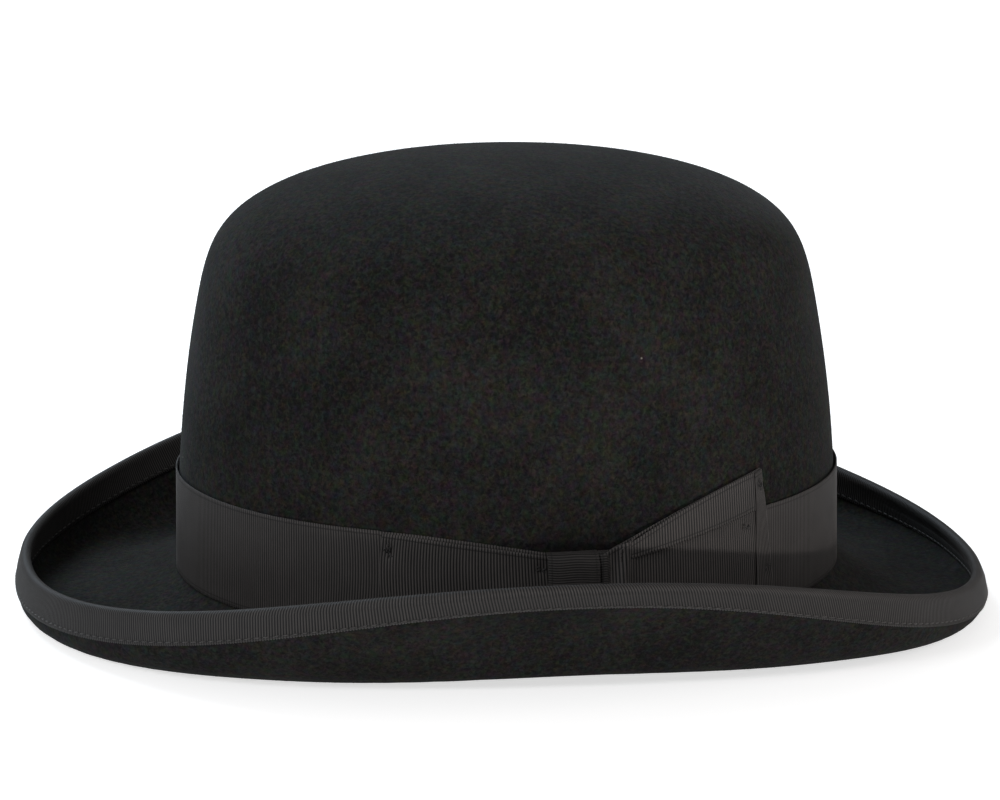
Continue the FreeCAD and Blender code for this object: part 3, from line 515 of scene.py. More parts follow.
def nap_tree():
    """Scatters short loose fibres over the felt, each a thin blade that leans along the surface."""
    if "felt_nap" in bpy.data.node_groups:
        return bpy.data.node_groups["felt_nap"]
    inputs = [
        ("Geometry", "Geometry", None),
        ("Density", "Float", 100000.0),
        ("Fibre Length", "Float", 0.0007),
        ("Fibre Width", "Float", 0.00005),
        ("Seed", "Int", 1),
        ("Material", "Material", None),
    ]
    t = Tree("felt_nap", "GeometryNodeTree", inputs, [("Geometry", "Geometry", None)])
    given = t.given.outputs
    spots = t.put(
        "GeometryNodeDistributePointsOnFaces",
        {
            "Mesh": given["Geometry"],
            "Density": given["Density"],
            "Seed": given["Seed"],
            "Selection": t.math("GREATER_THAN", t.attribute("open_felt"), 0.5),
        },
        distribute_method="RANDOM",
    )
    way = t.put(
        "FunctionNodeRandomValue",
        {0: (-1.0, -1.0, -1.0), 1: (1.0, 1.0, 1.0), "Seed": given["Seed"]},
        data_type="FLOAT_VECTOR",
    ).outputs[0]
    rise = t.vector("SCALE", spots.outputs["Normal"], scale=0.55)
    lean = t.vector("ADD", t.vector("SCALE", way, scale=1.1), rise)
    turn = t.put("FunctionNodeAlignRotationToVector", {"Vector": lean}, axis="Z").outputs[0]
    blade = t.put(
        "GeometryNodeMeshCone",
        {"Vertices": 3, "Radius Top": 0.0, "Radius Bottom": 0.5, "Depth": 1.0},
        fill_type="NONE",
    ).outputs[0]
    next_seed = t.math("ADD", given["Seed"], 5.0)
    some = t.put("FunctionNodeRandomValue", {2: 0.45, 3: 1.0, "Seed": next_seed}, data_type="FLOAT").outputs[1]
    long = t.math("MULTIPLY", given["Fibre Length"], some)
    width = given["Fibre Width"]
    size = t.put("ShaderNodeCombineXYZ", {0: width, 1: width, 2: long}).outputs[0]
    laid = t.put(
        "GeometryNodeInstanceOnPoints",
        {"Points": spots.outputs["Points"], "Instance": blade, "Rotation": turn, "Scale": size},
    ).outputs[0]
    whole = t.put("GeometryNodeRealizeInstances", {"Geometry": laid}).outputs[0]
    done = t.put("GeometryNodeSetMaterial", {"Geometry": whole, "Material": given["Material"]}).outputs[0]
    t.finish("Geometry", done)
    return t.tree


def grow(obj, tree, values):
    """Runs a tree on an object with the given inputs and keeps the result as its plain mesh."""
    modifier = obj.modifiers.new(tree.name, "NODES")
    modifier.node_group = tree
    for item in tree.interface.items_tree:
        if item.item_type == "SOCKET" and item.in_out == "INPUT" and item.name in values:
            modifier[item.identifier] = values[item.name]
    shaped = obj.evaluated_get(bpy.context.evaluated_depsgraph_get())
    mesh = bpy.data.meshes.new_from_object(shaped)
    if not mesh.polygons:
        raise RuntimeError("%s came out of %s with no faces" % (obj.name, tree.name))
    obj.modifiers.remove(modifier)
    bare = obj.data
    obj.data = mesh
    mesh.name = obj.name
    bpy.data.meshes.remove(bare)
    return obj


def ribbed(obj, material, pitch=None, height=None, loops=0.00010, irregularity=0.10):
    s = sizes()
    values = {
        "Rib Pitch": pitch or s.rib_pitch,
        "Rib Height": height or s.rib_height,
        "Edge Loops": loops,
        "Irregularity": irregularity,
        "Seed": float(s.seed),
        "Material": material,
    }
    return grow(obj, ribbing_tree(), values)


def stitched_line(name, points, facing, closed, values, material):
    """A row of stitches along points, each with the way its surface faces."""
    count = len(points)
    edges = [(i, i + 1) for i in range(count - 1)] + ([(count - 1, 0)] if closed else [])
    mesh = bpy.data.meshes.new(name)
    mesh.from_pydata(seated(points).tolist(), edges, [])
    layer = mesh.attributes.new("facing", "FLOAT_VECTOR", "POINT")
    turned = np.array(seat_matrix())[:3, :3]
    layer.data.foreach_set("vector", (facing @ turned.T).astype(np.float32).ravel())
    obj = bpy.data.objects.new(name, mesh)
    bpy.context.scene.collection.objects.link(obj)
    values = dict(values, Seed=sizes().seed, Material=material)
    return grow(obj, stitch_tree(), values)


def joined(name, objects):
    """Several plain meshes as one piece."""
    bpy.ops.object.select_all(action="DESELECT")
    for obj in objects:
        obj.select_set(True)
    bpy.context.view_layer.objects.active = objects[0]
    if len(objects) > 1:
        bpy.ops.object.join()
    objects[0].name = objects[0].data.name = name
    return objects[0]


# ---------------------------------------------------------------- shader groups


def ribbon_threads_group():
    """Fine warp threads that cross the ribs, a painted highlight on the rib crests and painted shade in the
    grooves between ribs.
    """
    if "ribbon_threads" in bpy.data.node_groups:
        return bpy.data.node_groups["ribbon_threads"]
    inputs = [
        ("Run", "Float", 0.0),
        ("Across", "Float", 0.0),
        ("Vector", "Vector", None),
        ("Rib Pitch", "Float", 0.001),
        ("Warp Pitch", "Float", 0.00022),
        ("Base", "Color", (0.02, 0.02, 0.02, 1)),
        ("Groove Shade", "Float", 0.5),
        ("Fade", "Float", 0.2),
        ("Margin", "Float", 1.0),
        ("Selvedge", "Float", 0.0009),
    ]
    outputs = [("Color", "Color", None), ("Height", "Float", None), ("Roughness", "Float", None)]
    t = Tree("ribbon_threads", "ShaderNodeTree", inputs, outputs)
    g = t.given.outputs
    turns = t.math("DIVIDE", g["Run"], g["Rib Pitch"])
    wave = t.math("ABSOLUTE", t.math("SINE", t.math("MULTIPLY", turns, math.pi)))
    # a painted highlight along the crest of each rib
    crisp = t.math("ADD", t.math("MULTIPLY", t.math("SUBTRACT", wave, 0.68), 2.1), 0.5)
    crest_highlight = t.put("ShaderNodeClamp", {0: crisp}).outputs[0]
    # a thin line of painted shade, standing for the shade beside the binding's stitches, parts the rib ends at
    # the selvedge from the ribs
    inset = t.math("DIVIDE", t.math("SUBTRACT", g["Margin"], g["Selvedge"]), 0.00021)
    stitch_shade_mask = t.math("EXPONENT", t.math("MULTIPLY", t.math("MULTIPLY", inset, inset), -1.0))
    line = t.math("SUBTRACT", 1.0, t.math("MULTIPLY", stitch_shade_mask, 0.75))
    rib = t.math("MULTIPLY", crest_highlight, line)
    step = t.math("MULTIPLY", t.math("MODULO", t.math("FLOOR", turns), 2.0), 0.5)
    warp = t.math("ADD", t.math("DIVIDE", g["Across"], g["Warp Pitch"]), step)
    thread = t.math("ABSOLUTE", t.math("SINE", t.math("MULTIPLY", warp, math.pi)))
    patchy = t.put("ShaderNodeTexNoise", {"Vector": g["Vector"], "Scale": 120.0, "Detail": 3.0}).outputs[0]
    specks = t.put("ShaderNodeTexNoise", {"Vector": g["Vector"], "Scale": 2600.0, "Detail": 2.0}).outputs[0]
    # depth: painted shade that darkens the grooves between the ribs by the Groove Shade share
    depth = t.math("SUBTRACT", 1.0, t.math("MULTIPLY", g["Groove Shade"], t.math("SUBTRACT", 1.0, rib)))
    faded = t.math("MULTIPLY", t.math("SUBTRACT", patchy, 0.5), g["Fade"])
    tone = t.math("MULTIPLY", depth, t.math("ADD", 1.0, faded))
    tone = t.math("MULTIPLY", tone, t.math("ADD", 0.72, t.math("MULTIPLY", specks, 0.56)))
    tone = t.math("MULTIPLY", tone, t.math("ADD", 0.86, t.math("MULTIPLY", thread, 0.20)))
    painted = t.vector("SCALE", g["Base"], scale=tone)
    t.finish("Color", painted)
    t.finish("Height", t.math("ADD", t.math("MULTIPLY", thread, 0.6), t.math("MULTIPLY", specks, 0.4)))
    t.finish("Roughness", t.math("ADD", 0.52, t.math("MULTIPLY", specks, 0.18)))
    return t.tree


def soft_mottle_group():
    """Cloudy two-tone colour with a fine matted grain."""
    if "soft_mottle" in bpy.data.node_groups:
        return bpy.data.node_groups["soft_mottle"]
    inputs = [
        ("Vector", "Vector", None),
        ("Dark", "Color", (0.01, 0.01, 0.01, 1)),
        ("Light", "Color", (0.03, 0.03, 0.03, 1)),
        ("Cloud Scale", "Float", 60.0),
        ("Grain Scale", "Float", 900.0),
        ("Balance", "Float", 0.5),
    ]
    outputs = [("Color", "Color", None), ("Height", "Float", None), ("Mask", "Float", None)]
    t = Tree("soft_mottle", "ShaderNodeTree", inputs, outputs)
    g = t.given.outputs
    cloud = t.put(
        "ShaderNodeTexNoise", {"Vector": g["Vector"], "Scale": g["Cloud Scale"], "Detail": 4.0}
    ).outputs[0]
    matted = {
        "Vector": g["Vector"],
        "Scale": g["Grain Scale"],
        "Detail": 4.0,
        "Roughness": 0.7,
        "Distortion": 0.6,
    }
    grain = t.put("ShaderNodeTexNoise", matted).outputs[0]
    mask = t.math("MULTIPLY", t.math("SUBTRACT", grain, 0.36), 2.6)
    mask = t.math("ADD", mask, t.math("MULTIPLY", t.math("SUBTRACT", cloud, 0.5), 0.9))
    mask = t.put("ShaderNodeClamp", {0: t.math("MULTIPLY", mask, g["Balance"])}).outputs[0]
    mixed = t.put("ShaderNodeMix", {0: mask, 6: g["Dark"], 7: g["Light"]}, data_type="RGBA").outputs[2]
    t.finish("Color", mixed)
    t.finish("Height", grain)
    t.finish("Mask", mask)
    return t.tree


class Paint:
    """A material under construction round one Principled BSDF."""

    def __init__(self, name, settings):
        self.material = bpy.data.materials.new(name)
        self.material.use_nodes = True
        self.nodes = self.material.node_tree.nodes
        self.links = self.material.node_tree.links
        self.shader = self.nodes["Principled BSDF"]
        for key, value in settings.items():
            self.shader.inputs[key].default_value = value

    def put(self, kind, values=None, **settings):
        node = self.nodes.new(kind)
        for key, value in settings.items():
            setattr(node, key, value)
        for key, value in (values or {}).items():
            if isinstance(value, bpy.types.NodeSocket):
                self.links.new(value, node.inputs[key])
            else:
                node.inputs[key].default_value = value
        return node

    def math(self, operation, one, other=0.0):
        return self.put("ShaderNodeMath", {0: one, 1: other}, operation=operation).outputs[0]

    def group(self, tree, values):
        node = self.nodes.new("ShaderNodeGroup")
        node.node_tree = tree
        for key, value in values.items():
            if isinstance(value, bpy.types.NodeSocket):
                self.links.new(value, node.inputs[key])
            else:
                node.inputs[key].default_value = value
        return node.outputs

    def place(self):
        return self.put("ShaderNodeTexCoord").outputs["Object"]

    def attribute(self, name):
        return self.put("ShaderNodeAttribute", attribute_name=name).outputs["Fac"]

    def noise(self, scale, detail=3.0, **values):
        values = {"Vector": self.place(), "Scale": scale, "Detail": detail, **values}
        return self.put("ShaderNodeTexNoise", values).outputs[0]

    def colour(self, socket):
        self.links.new(socket, self.shader.inputs["Base Color"])

    def bump(self, height, distance, strength=1.0, under=None):
        values = {"Height": height, "Distance": distance, "Strength": strength}
        if under is not None:
            values["Normal"] = under
        node = self.put("ShaderNodeBump", values)
        self.links.new(node.outputs[0], self.shader.inputs["Normal"])
        return node.outputs[0]

    def rough(self, socket):
        self.links.new(socket, self.shader.inputs["Roughness"])


def rgba(value):
    return (*value, 1.0)


def once(name, make):
    return bpy.data.materials.get(name) or make(name)


def felt_material(name):
    """Black fur felt: matted grain, faint brushed clouds and a few pale specks of lint."""
    f = finishes()
    settings = {
        "Roughness": 0.92,
        "Specular IOR Level": 0.10,
        "Sheen Weight": 0.045,
        "Sheen Roughness": 0.38,
        "Sheen Tint": (0.80, 0.84, 0.90, 1),
    }
    p = Paint(name, settings)
    mottle = p.group(
        soft_mottle_group(),
        {
            "Vector": p.place(),
            "Dark": rgba(f.felt),
            "Light": rgba(f.felt_light),
            "Cloud Scale": 42.0,
            "Grain Scale": 820.0,
            "Balance": 0.55,
        },
    )
    tint = p.put(
        "ShaderNodeTexNoise", {"Vector": p.place(), "Scale": 380.0, "Detail": 2.0}, noise_dimensions="3D"
    ).outputs["Color"]
    gain, lift = (1.5, 1.5, 1.5), (0.25, 0.25, 0.25)
    strong = p.put("ShaderNodeVectorMath", {0: tint, 1: gain, 2: lift}, operation="MULTIPLY_ADD")
    toned = p.put(
        "ShaderNodeMix",
        {0: 1.0, 6: mottle["Color"], 7: strong.outputs[0]},
        data_type="RGBA",
        blend_type="MULTIPLY",
    ).outputs[2]
    cells = p.put("ShaderNodeTexVoronoi", {"Vector": p.place(), "Scale": 62.0}, feature="F1")
    lint = cells.outputs["Distance"]
    chosen = p.noise(33.0, 0.0)
    speck = p.math("MULTIPLY", p.math("LESS_THAN", lint, 0.020), p.math("GREATER_THAN", chosen, 0.60))
    lit = p.put("ShaderNodeMix", {0: speck, 6: toned, 7: (0.16, 0.15, 0.13, 1)}, data_type="RGBA").outputs[2]
    # the felt is darker in a soft patch round and just above the bow's knot
    knot_patch_tone = p.math("SUBTRACT", 1.0, p.math("MULTIPLY", p.attribute("pressed"), 0.68))
    p.colour(p.put("ShaderNodeVectorMath", {0: lit, "Scale": knot_patch_tone}, operation="SCALE").outputs[0])
    coarse = p.noise(210.0, 4.0)
    under = p.bump(coarse, 0.00022, 0.55)
    p.bump(mottle["Height"], 0.00016, 0.85, under)
    return p.material


def nap_material(name):
    p = Paint(name, {"Roughness": 0.9, "Specular IOR Level": 0.1, "Sheen Weight": 0.05})
    f = finishes()
    ends = {0: p.noise(500.0, 1.0), 6: rgba(f.felt), 7: rgba(f.felt_light)}
    tone = p.put("ShaderNodeMix", ends, data_type="RGBA")
    p.colour(tone.outputs[2])
    return p.material


def grosgrain_material(name, rib_pitch, tone_and_light_gain=1.0, groove_shade=0.93):
    """Ribbed ribbon: a painted highlight on the rounded ribs, painted shade in the grooves and fine warp
    threads across the ribs.
    """
    settings = {
        "Specular IOR Level": 0.27,
        "Sheen Weight": 0.085,
        "Sheen Roughness": 0.35,
        "Sheen Tint": (0.88, 0.87, 0.86, 1),
    }
    p = Paint(name, settings)
    # the gain scales the grosgrain's colour per piece: for the binding, band, bow and knot it is painted light
    # and shade on one black ribbon
    base = [tone_and_light_gain * c for c in finishes().grosgrain]
    threads = p.group(
        ribbon_threads_group(),
        {
            "Run": p.attribute("run"),
            "Across": p.attribute("across"),
            "Vector": p.place(),
            "Rib Pitch": rib_pitch,
            "Warp Pitch": 0.00024,
            "Base": rgba(base),
            "Groove Shade": groove_shade,
            "Fade": 0.45,
            "Margin": p.attribute("margin"),
            "Selvedge": 0.00105,
        },
    )
    p.colour(threads["Color"])
    p.rough(threads["Roughness"])
    p.bump(threads["Height"], 0.00003, 0.7)
    return p.material


def thread_material(name, value, gloss=0.55):
    """Twisted sewing thread, drawn as fine slanting plies."""
    p = Paint(name, {"Roughness": gloss, "Specular IOR Level": 0.4, "Sheen Weight": 0.15})
    turned = p.put("ShaderNodeMapping", {"Vector": p.place(), "Rotation": (0.6, 0.5, 0.7)}).outputs[0]
    ply = p.put("ShaderNodeTexWave", {"Vector": turned, "Scale": 900.0, "Distortion": 1.5}).outputs["Fac"]
    dark = [0.45 * c for c in value]
    tone = p.put("ShaderNodeMix", {0: ply, 6: rgba(dark), 7: rgba(value)}, data_type="RGBA")
    p.colour(tone.outputs[2])
    p.bump(ply, 0.00005, 0.6)
    return p.material


def leather_material(name):
    """Smooth brown sweatband leather with pores, fine creases and darker handled patches."""
    value = finishes().leather
    settings = {
        "Roughness": 0.45,
        "Specular IOR Level": 0.45,
        "Coat Weight": 0.08,
        "Coat Roughness": 0.35,
    }
    p = Paint(name, settings)
    mottle = p.group(
        soft_mottle_group(),
        {
            "Vector": p.place(),
            "Dark": rgba([0.55 * c for c in value]),
            "Light": rgba(value),
            "Cloud Scale": 35.0,
            "Grain Scale": 420.0,
            "Balance": 1.0,
        },
    )
    p.colour(mottle["Color"])
    creases = p.put("ShaderNodeTexVoronoi", {"Vector": p.place(), "Scale": 950.0}, feature="DISTANCE_TO_EDGE")
    pores = p.put("ShaderNodeTexNoise", {"Vector": p.place(), "Scale": 1700.0, "Detail": 3.0}).outputs[0]
    under = p.bump(creases.outputs["Distance"], 0.00012, 0.45)
    p.bump(pores, 0.00005, 0.5, under)
    p.rough(p.math("ADD", 0.36, p.math("MULTIPLY", mottle["Mask"], 0.18)))
    return p.material


def woven_material(name, value, pitch, gloss, sheen):
    """A plain fine weave on flat directions: used for tape, satin and piping."""
    p = Paint(name, {"Roughness": gloss, "Specular IOR Level": 0.5, "Sheen Weight": sheen})
    threads = p.group(
        ribbon_threads_group(),
        {
            "Run": p.attribute("run"),
            "Across": p.attribute("across"),
            "Vector": p.place(),
            "Rib Pitch": pitch,
            "Warp Pitch": pitch * 0.8,
            "Base": rgba(value),
            # painted shade between the weave's threads
            "Groove Shade": 0.22,
            "Fade": 0.25,
        },
    )
    p.colour(threads["Color"])
    p.bump(threads["Height"], 0.00003, 0.4)
    return p.material


def ticket_material(name):
    p = Paint(name, {"Roughness": 0.8, "Specular IOR Level": 0.3})
    mottle = p.group(
        soft_mottle_group(),
        {
            "Vector": p.place(),
            "Dark": rgba([0.82 * c for c in finishes().ticket]),
            "Light": rgba(finishes().ticket),
            "Cloud Scale": 120.0,
            "Grain Scale": 1500.0,
            "Balance": 1.0,
        },
    )
    p.colour(mottle["Color"])
    p.bump(mottle["Height"], 0.00005, 0.4)
    return p.material


# The binding, band, bow and knot share one black grosgrain, painted lighter on the band and bow and painted
# darker on the binding and knot as light and shade fall on them; each also has painted shade in its grooves.
def binding_paint():
    return once("grosgrain_binding_painted_shade", lambda n: grosgrain_material(n, sizes().rib_pitch, 0.86, 0.96))


def band_paint():
    return once("grosgrain_band_painted_light", lambda n: grosgrain_material(n, sizes().rib_pitch, 1.15, 0.86))


def bow_paint():
    return once("grosgrain_bow_painted_light", lambda n: grosgrain_material(n, sizes().rib_pitch, 1.25, 0.94))


def knot_paint():
    return once("grosgrain_knot_painted_shade", lambda n: grosgrain_material(n, sizes().knot_rib_pitch, 0.70, 0.85))


def black_thread():
    return once("black_thread_finish", lambda n: thread_material(n, finishes().thread))


def tack_thread():
    return once("tack_thread_finish", lambda n: thread_material(n, [0.25 * c for c in finishes().thread]))


def light_thread():
    return once("light_thread_finish", lambda n: thread_material(n, finishes().light_thread))


def satin_paint():
    return once("lining_satin_finish", lambda n: woven_material(n, finishes().satin, 0.0005, 0.32, 0.25))


# ---------------------------------------------------------------- felt


FELT_COLUMNS = 400


def felt_grid():
    """Rows of the felt from the top of the crown, down outside, round the brim and up inside."""
    s = sizes()
    angle = np.linspace(0, 2 * np.pi, FELT_COLUMNS, endpoint=False)
    felt = s.felt_thickness
    up = np.r_[np.linspace(1, 0.52, 28), np.linspace(0.50, 0.012, 26)]
    outline = spline_weights(CROWN_KNOTS, 6, up) @ np.array(CROWN_OUTLINE)

    def crown_rows(shape, less):
        rows = []
        for share, height in shape:
            level = height * (s.crown_height - less)
            y = (s.crown_half_length - less) * share * np.cos(angle) + CROWN_LEAN * level
            rows.append(in_frame((s.crown_half_width - less) * share * np.sin(angle), y, level))
        return rows

    base, outward, lines = brim_lines(angle)
    half, turn = felt / 2, BREAK_RADIUS
    inner = lambda total: np.linspace(total - turn - 0.0006, 0.0130, 32)
    rim_marks = np.linspace(0.0115, 0.0, 10)
    flat = []
    for radius, degrees in ((turn, (180, 200, 222, 245)),):
        for d in degrees:
            spot = (turn + radius * math.cos(math.radians(d)), turn + radius * math.sin(math.radians(d)))
            flat.append(np.broadcast_to(spot, (FELT_COLUMNS, 1, 2)))
    points, normals, _ = along_brim(lines, inner)
    flat.append(points - half * normals)
    flat.append(turned_edge(lines, rim_marks, half, 8)[:, ::-1])
    flat.append((points + half * normals)[:, ::-1])
    for d in (238, 215, 192, 180):
        radius = turn + felt
        spot = (turn + radius * math.cos(math.radians(d)), turn + radius * math.sin(math.radians(d)))
        flat.append(np.broadcast_to(spot, (FELT_COLUMNS, 1, 2)))
    brim = from_brim(base, outward, np.concatenate(flat, 1))
    outer = crown_rows(outline[outline[:, 0] > 0.01], 0.0)
    inside = crown_rows(outline[outline[:, 0] > 0.01][::-1][::2], felt)
    return np.concatenate([outer, brim, inside]), len(outer)


def felt_faces(rows, columns):
    faces = list(map(tuple, grid_faces(rows, columns, False, True)))
    count = rows * columns
    for row, pole in ((0, count), (rows - 1, count + 1)):
        for c in range(columns):
            a, b = row * columns + c, row * columns + (c + 1) % columns
            faces.append((pole, b, a) if row == 0 else (pole, a, b))
    return faces


def soft_waves(points, scale, seed):
    """Gentle unevenness from a few slow waves, between -1 and 1."""
    random = np.random.default_rng(seed)
    total = np.zeros(points.shape[:-1])
    for _ in range(7):
        way = random.normal(size=3)
        way /= np.linalg.norm(way)
        total += np.sin(points @ way * random.uniform(0.6, 1.5) * 2 * np.pi / scale + random.uniform(0, 6.28))
    return total / 7


def make_felt():
    s = sizes()
    grid, crown_rows = felt_grid()
    rows, columns = grid.shape[:2]
    waves = soft_waves(grid, 0.050, s.seed)
    blocked = np.zeros((rows, columns))
    blocked[: crown_rows - 6] = 1.0
    outward = in_frame(grid[..., 0] / s.crown_half_width, grid[..., 1] / s.crown_half_length, 0 * waves)
    outward /= np.maximum(np.linalg.norm(outward, axis=-1, keepdims=True), 1e-9)
    above_band = eased((grid[..., 2] - s.band_top - 0.004) / 0.020)
    grid = grid + outward * (waves * 0.00022 * blocked * above_band)[..., None]
    over = [0, grid[0, :, 1].mean(), s.crown_height]
    under = [0, grid[-1, :, 1].mean(), s.crown_height - s.felt_thickness]
    poles = np.stack([over, under])
    open_felt = np.zeros((rows, columns))
    open_felt[: rows - 34] = 1.0
    open_felt[(grid[..., 2] < s.band_top + 0.001) & (np.arange(rows)[:, None] < crown_rows)] = 0.0
    # the nap is worn away where the brim rests
    open_felt[grid[..., 2] < 0.0014 - SEAT_SHIFT[1]] = 0.0
    # pressed: a soft patch round and just above the bow's knot, where the felt's colour is made darker
    way = np.arctan2(grid[..., 0] / s.crown_half_width, grid[..., 1] / s.crown_half_length)
    beside = (np.degrees(way) - 87.0) / 8.5
    pressed = np.exp(-(beside ** 4) - ((grid[..., 2] - 0.0275) / 0.0042) ** 4)
    values = {"open_felt": np.r_[open_felt.ravel(), 1.0, 0.0], "pressed": np.r_[pressed.ravel(), 0.0, 0.0]}
    points = np.concatenate([grid.reshape(-1, 3), poles])
    felt = piece("felt", points, felt_faces(rows, columns), values)
    felt.data.materials.append(once("fur_felt_finish", felt_material))
    low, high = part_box("felt_body")
    mine = np.array([v.co for v in felt.data.vertices])
    off = max(np.abs(mine.min(0) - low).max(), np.abs(mine.max(0) - high).max())
    if off > 0.0015:
        raise RuntimeError("the felt's box is %.2f mm off its solid" % (off * 1000))
    return felt


def make_nap(felt):
    """Loose fibres on the felt that shows; the felt under the ribbons and inside the crown has none."""
    s = sizes()
    nap = bpy.data.objects.new("felt_nap", felt.data.copy())
    bpy.context.scene.collection.objects.link(nap)
    felt_area = 0.155
    values = {
        "Density": s.nap_fibres / felt_area,
        "Fibre Length": s.nap_length,
        "Fibre Width": 0.00006,
        "Seed": s.seed,
        "Material": once("nap_fibre_finish", nap_material),
    }
    return grow(nap, nap_tree(), values)


# ---------------------------------------------------------------- binding


def slide(rows, columns):
    """Closed rows of points, each moved along itself by its own number of columns."""
    count = rows.shape[1]
    place = np.arange(count) + columns
    first = np.floor(place).astype(int)
    part = (place - first)[..., None]
    row = np.arange(rows.shape[0])[:, None]
    return rows[row, first % count] * (1 - part) + rows[row, (first + 1) % count] * part


def make_binding():
    """The ribbon folded over the brim's edge, its ribs slanted where the fold pulls them."""
    s = sizes()
    half = s.felt_thickness / 2
    angle, run_length = even_angles(rim, 8)
    ribs = round(run_length / s.rib_pitch)
    angle, run_length = even_angles(rim, ribs * 4)
    base, outward, lines = brim_lines(angle)
    body = s.ribbon_thickness - s.rib_height
    reach = s.binding_reach
    marks = np.r_[reach, reach - 0.0005, np.linspace(reach - 0.0016, 0.0010, 3), 0.0]
    outer = from_brim(base, outward, turned_edge(lines, marks, half + body, 4))
    inner_marks = np.r_[reach - 0.0002, 0.0]
    inner = from_brim(base, outward, turned_edge(lines, inner_marks, half + 0.00003, 3))
    steps = np.linalg.norm(np.diff(outer, axis=0), axis=2).mean(1)
    across = np.r_[0, np.cumsum(steps)]
    # the pull of the folding slants the ribs, most between the side and the back
    way = np.degrees(angle)
    off_back = np.minimum(way, 360 - way)
    slant = sum(
        most * np.exp(-(((off_back - middle) / spread) ** 2)) for middle, spread, most in BINDING_SLANT
    )
    slant *= np.sign(180 - way) * len(angle) / run_length
    outer = slide(outer, (across - across.mean())[:, None] * slant)
    inside = np.r_[0, np.cumsum(np.linalg.norm(np.diff(inner, axis=0), axis=2).mean(1))]
    inner = slide(inner, (inside * across[-1] / inside[-1] - across.mean())[:, None] * slant)
    run = np.arange(len(angle)) * ribs * s.rib_pitch / len(angle)
    obj = ribbon_shell("binding_ribbon", outer, inner, run, across, True, 1.3)
    ribbed(obj, binding_paint(), loops=0.00016)
    return obj


def make_binding_stitches():
    s = sizes()
    angle, _ = even_angles(rim, 1400)
    base, outward, lines = brim_lines(angle)
    reach = s.binding_reach - 0.0010
    level = s.felt_thickness / 2 + s.ribbon_thickness + 0.00002
    points, normals, _ = along_brim(lines, np.array([reach]))
    rows = []
    for name, side in (("lower_row", 1), ("upper_row", -1)):
        spots = from_brim(base, outward, points + side * level * normals)[0]
        away = from_brim(0 * base, outward, side * normals)[0]
        values = {
            "Pitch": s.stitch_pitch,
            "Stitch Length": s.stitch_pitch * 0.74,
            "Thread": s.thread,
            "Slant": 0.12 * side,
            "Wander": 0.10,
        }
        rows.append(stitched_line(name, spots, away, True, values, black_thread()))
    return joined("binding_stitches", rows)


# ---------------------------------------------------------------- band and bow


def rear_top(share):
    return 0.0262 + (0.0452 - 0.0262) * (1.695 * share - 0.695 * share ** 2)


def rear_foot(share):
    return 0.0056 + (0.0016 - 0.0056) * share


def front_top(share):
    start = sizes().band_top - 0.0006
    return start - (start - 0.0264) * share ** 1.3


def front_foot(share):
    start = sizes().band_bottom
    return start + (0.0056 - start) * share ** 1.6


def band_top(degrees):
    """The band's upper edge: level round the crown, and drawn down under the bow."""
    top = sizes().band_top
    turn = (np.asarray(degrees, float) + 180) % 360 - 180
    front = np.clip((WING_FRONT[0] - turn) / (WING_FRONT[0] - WING_FRONT[1]), 0, 1)
    rear = np.clip((WING_REAR[0] - turn) / (WING_REAR[0] - WING_REAR[1]), 0.05, 1)
    over_front = front_top(front) + 0.0011 - 0.0008 * front ** 3
    drawn = np.where(turn > KNOT_ANGLE, over_front, rear_top(rear) - 0.0007)
    least = (top + drawn - np.hypot(top - drawn, 0.0008)) / 2
    return np.where((turn < WING_REAR[1]) | (turn > WING_FRONT[0]), top, least)


def make_band():
    """The ribbon round the crown, drawn down where the bow lies over it."""
    s = sizes()
    path = lambda a: on_crown(a, 0.016)
    ribs = round(round_length(path) / s.rib_pitch)
    angle, _ = even_angles(path, ribs * 4)
    rows, gap = 13, 0.00015
    share = np.r_[0, 0.02, np.linspace(0.07, 0.93, rows - 4), 0.98, 1.0][:, None]
    degrees = np.degrees(angle)
    top = band_top(degrees)
    height = s.band_bottom + (top - s.band_bottom) * share
    # the ribs lean where the bow pulls the band
    pull = np.exp(-(((degrees - 124.5) / 7.0) ** 2)) * 0.0042 * (share - 0.62) ** 2
    lean = pull / s.crown_half_length
    pucker = soft_waves(on_crown(angle, height), 0.028, s.seed + 3) * 0.00010
    body = s.ribbon_thickness - s.rib_height

    def side(proud):
        y = (s.crown_half_length + proud) * np.cos(angle + lean) + CROWN_LEAN * height
        x = (s.crown_half_width + proud) * np.sin(angle + lean)
        return in_frame(x, y, height)

    drawn = 0.00062 * share
    outer, inner = side(gap + body - drawn + pucker), side(gap - drawn + pucker * 0.5)
    run = np.arange(len(angle)) * ribs * s.rib_pitch / len(angle)
    obj = ribbon_shell("band_ribbon", outer, inner[::6], run, height, True, 1.3)
    ribbed(obj, band_paint(), loops=0.00014)
    return obj


def dents(degrees, height, spots, radius=0.0013, depth=0.00060):
    """How far stitches pull the ribbon in round each of their spots."""
    total = np.zeros(np.broadcast(degrees, height).shape)
    for spot, level in spots:
        along = np.radians(degrees - spot) * sizes().crown_half_width
        total -= depth * np.exp(-(along ** 2 + (height - level) ** 2) / radius ** 2)
    return total


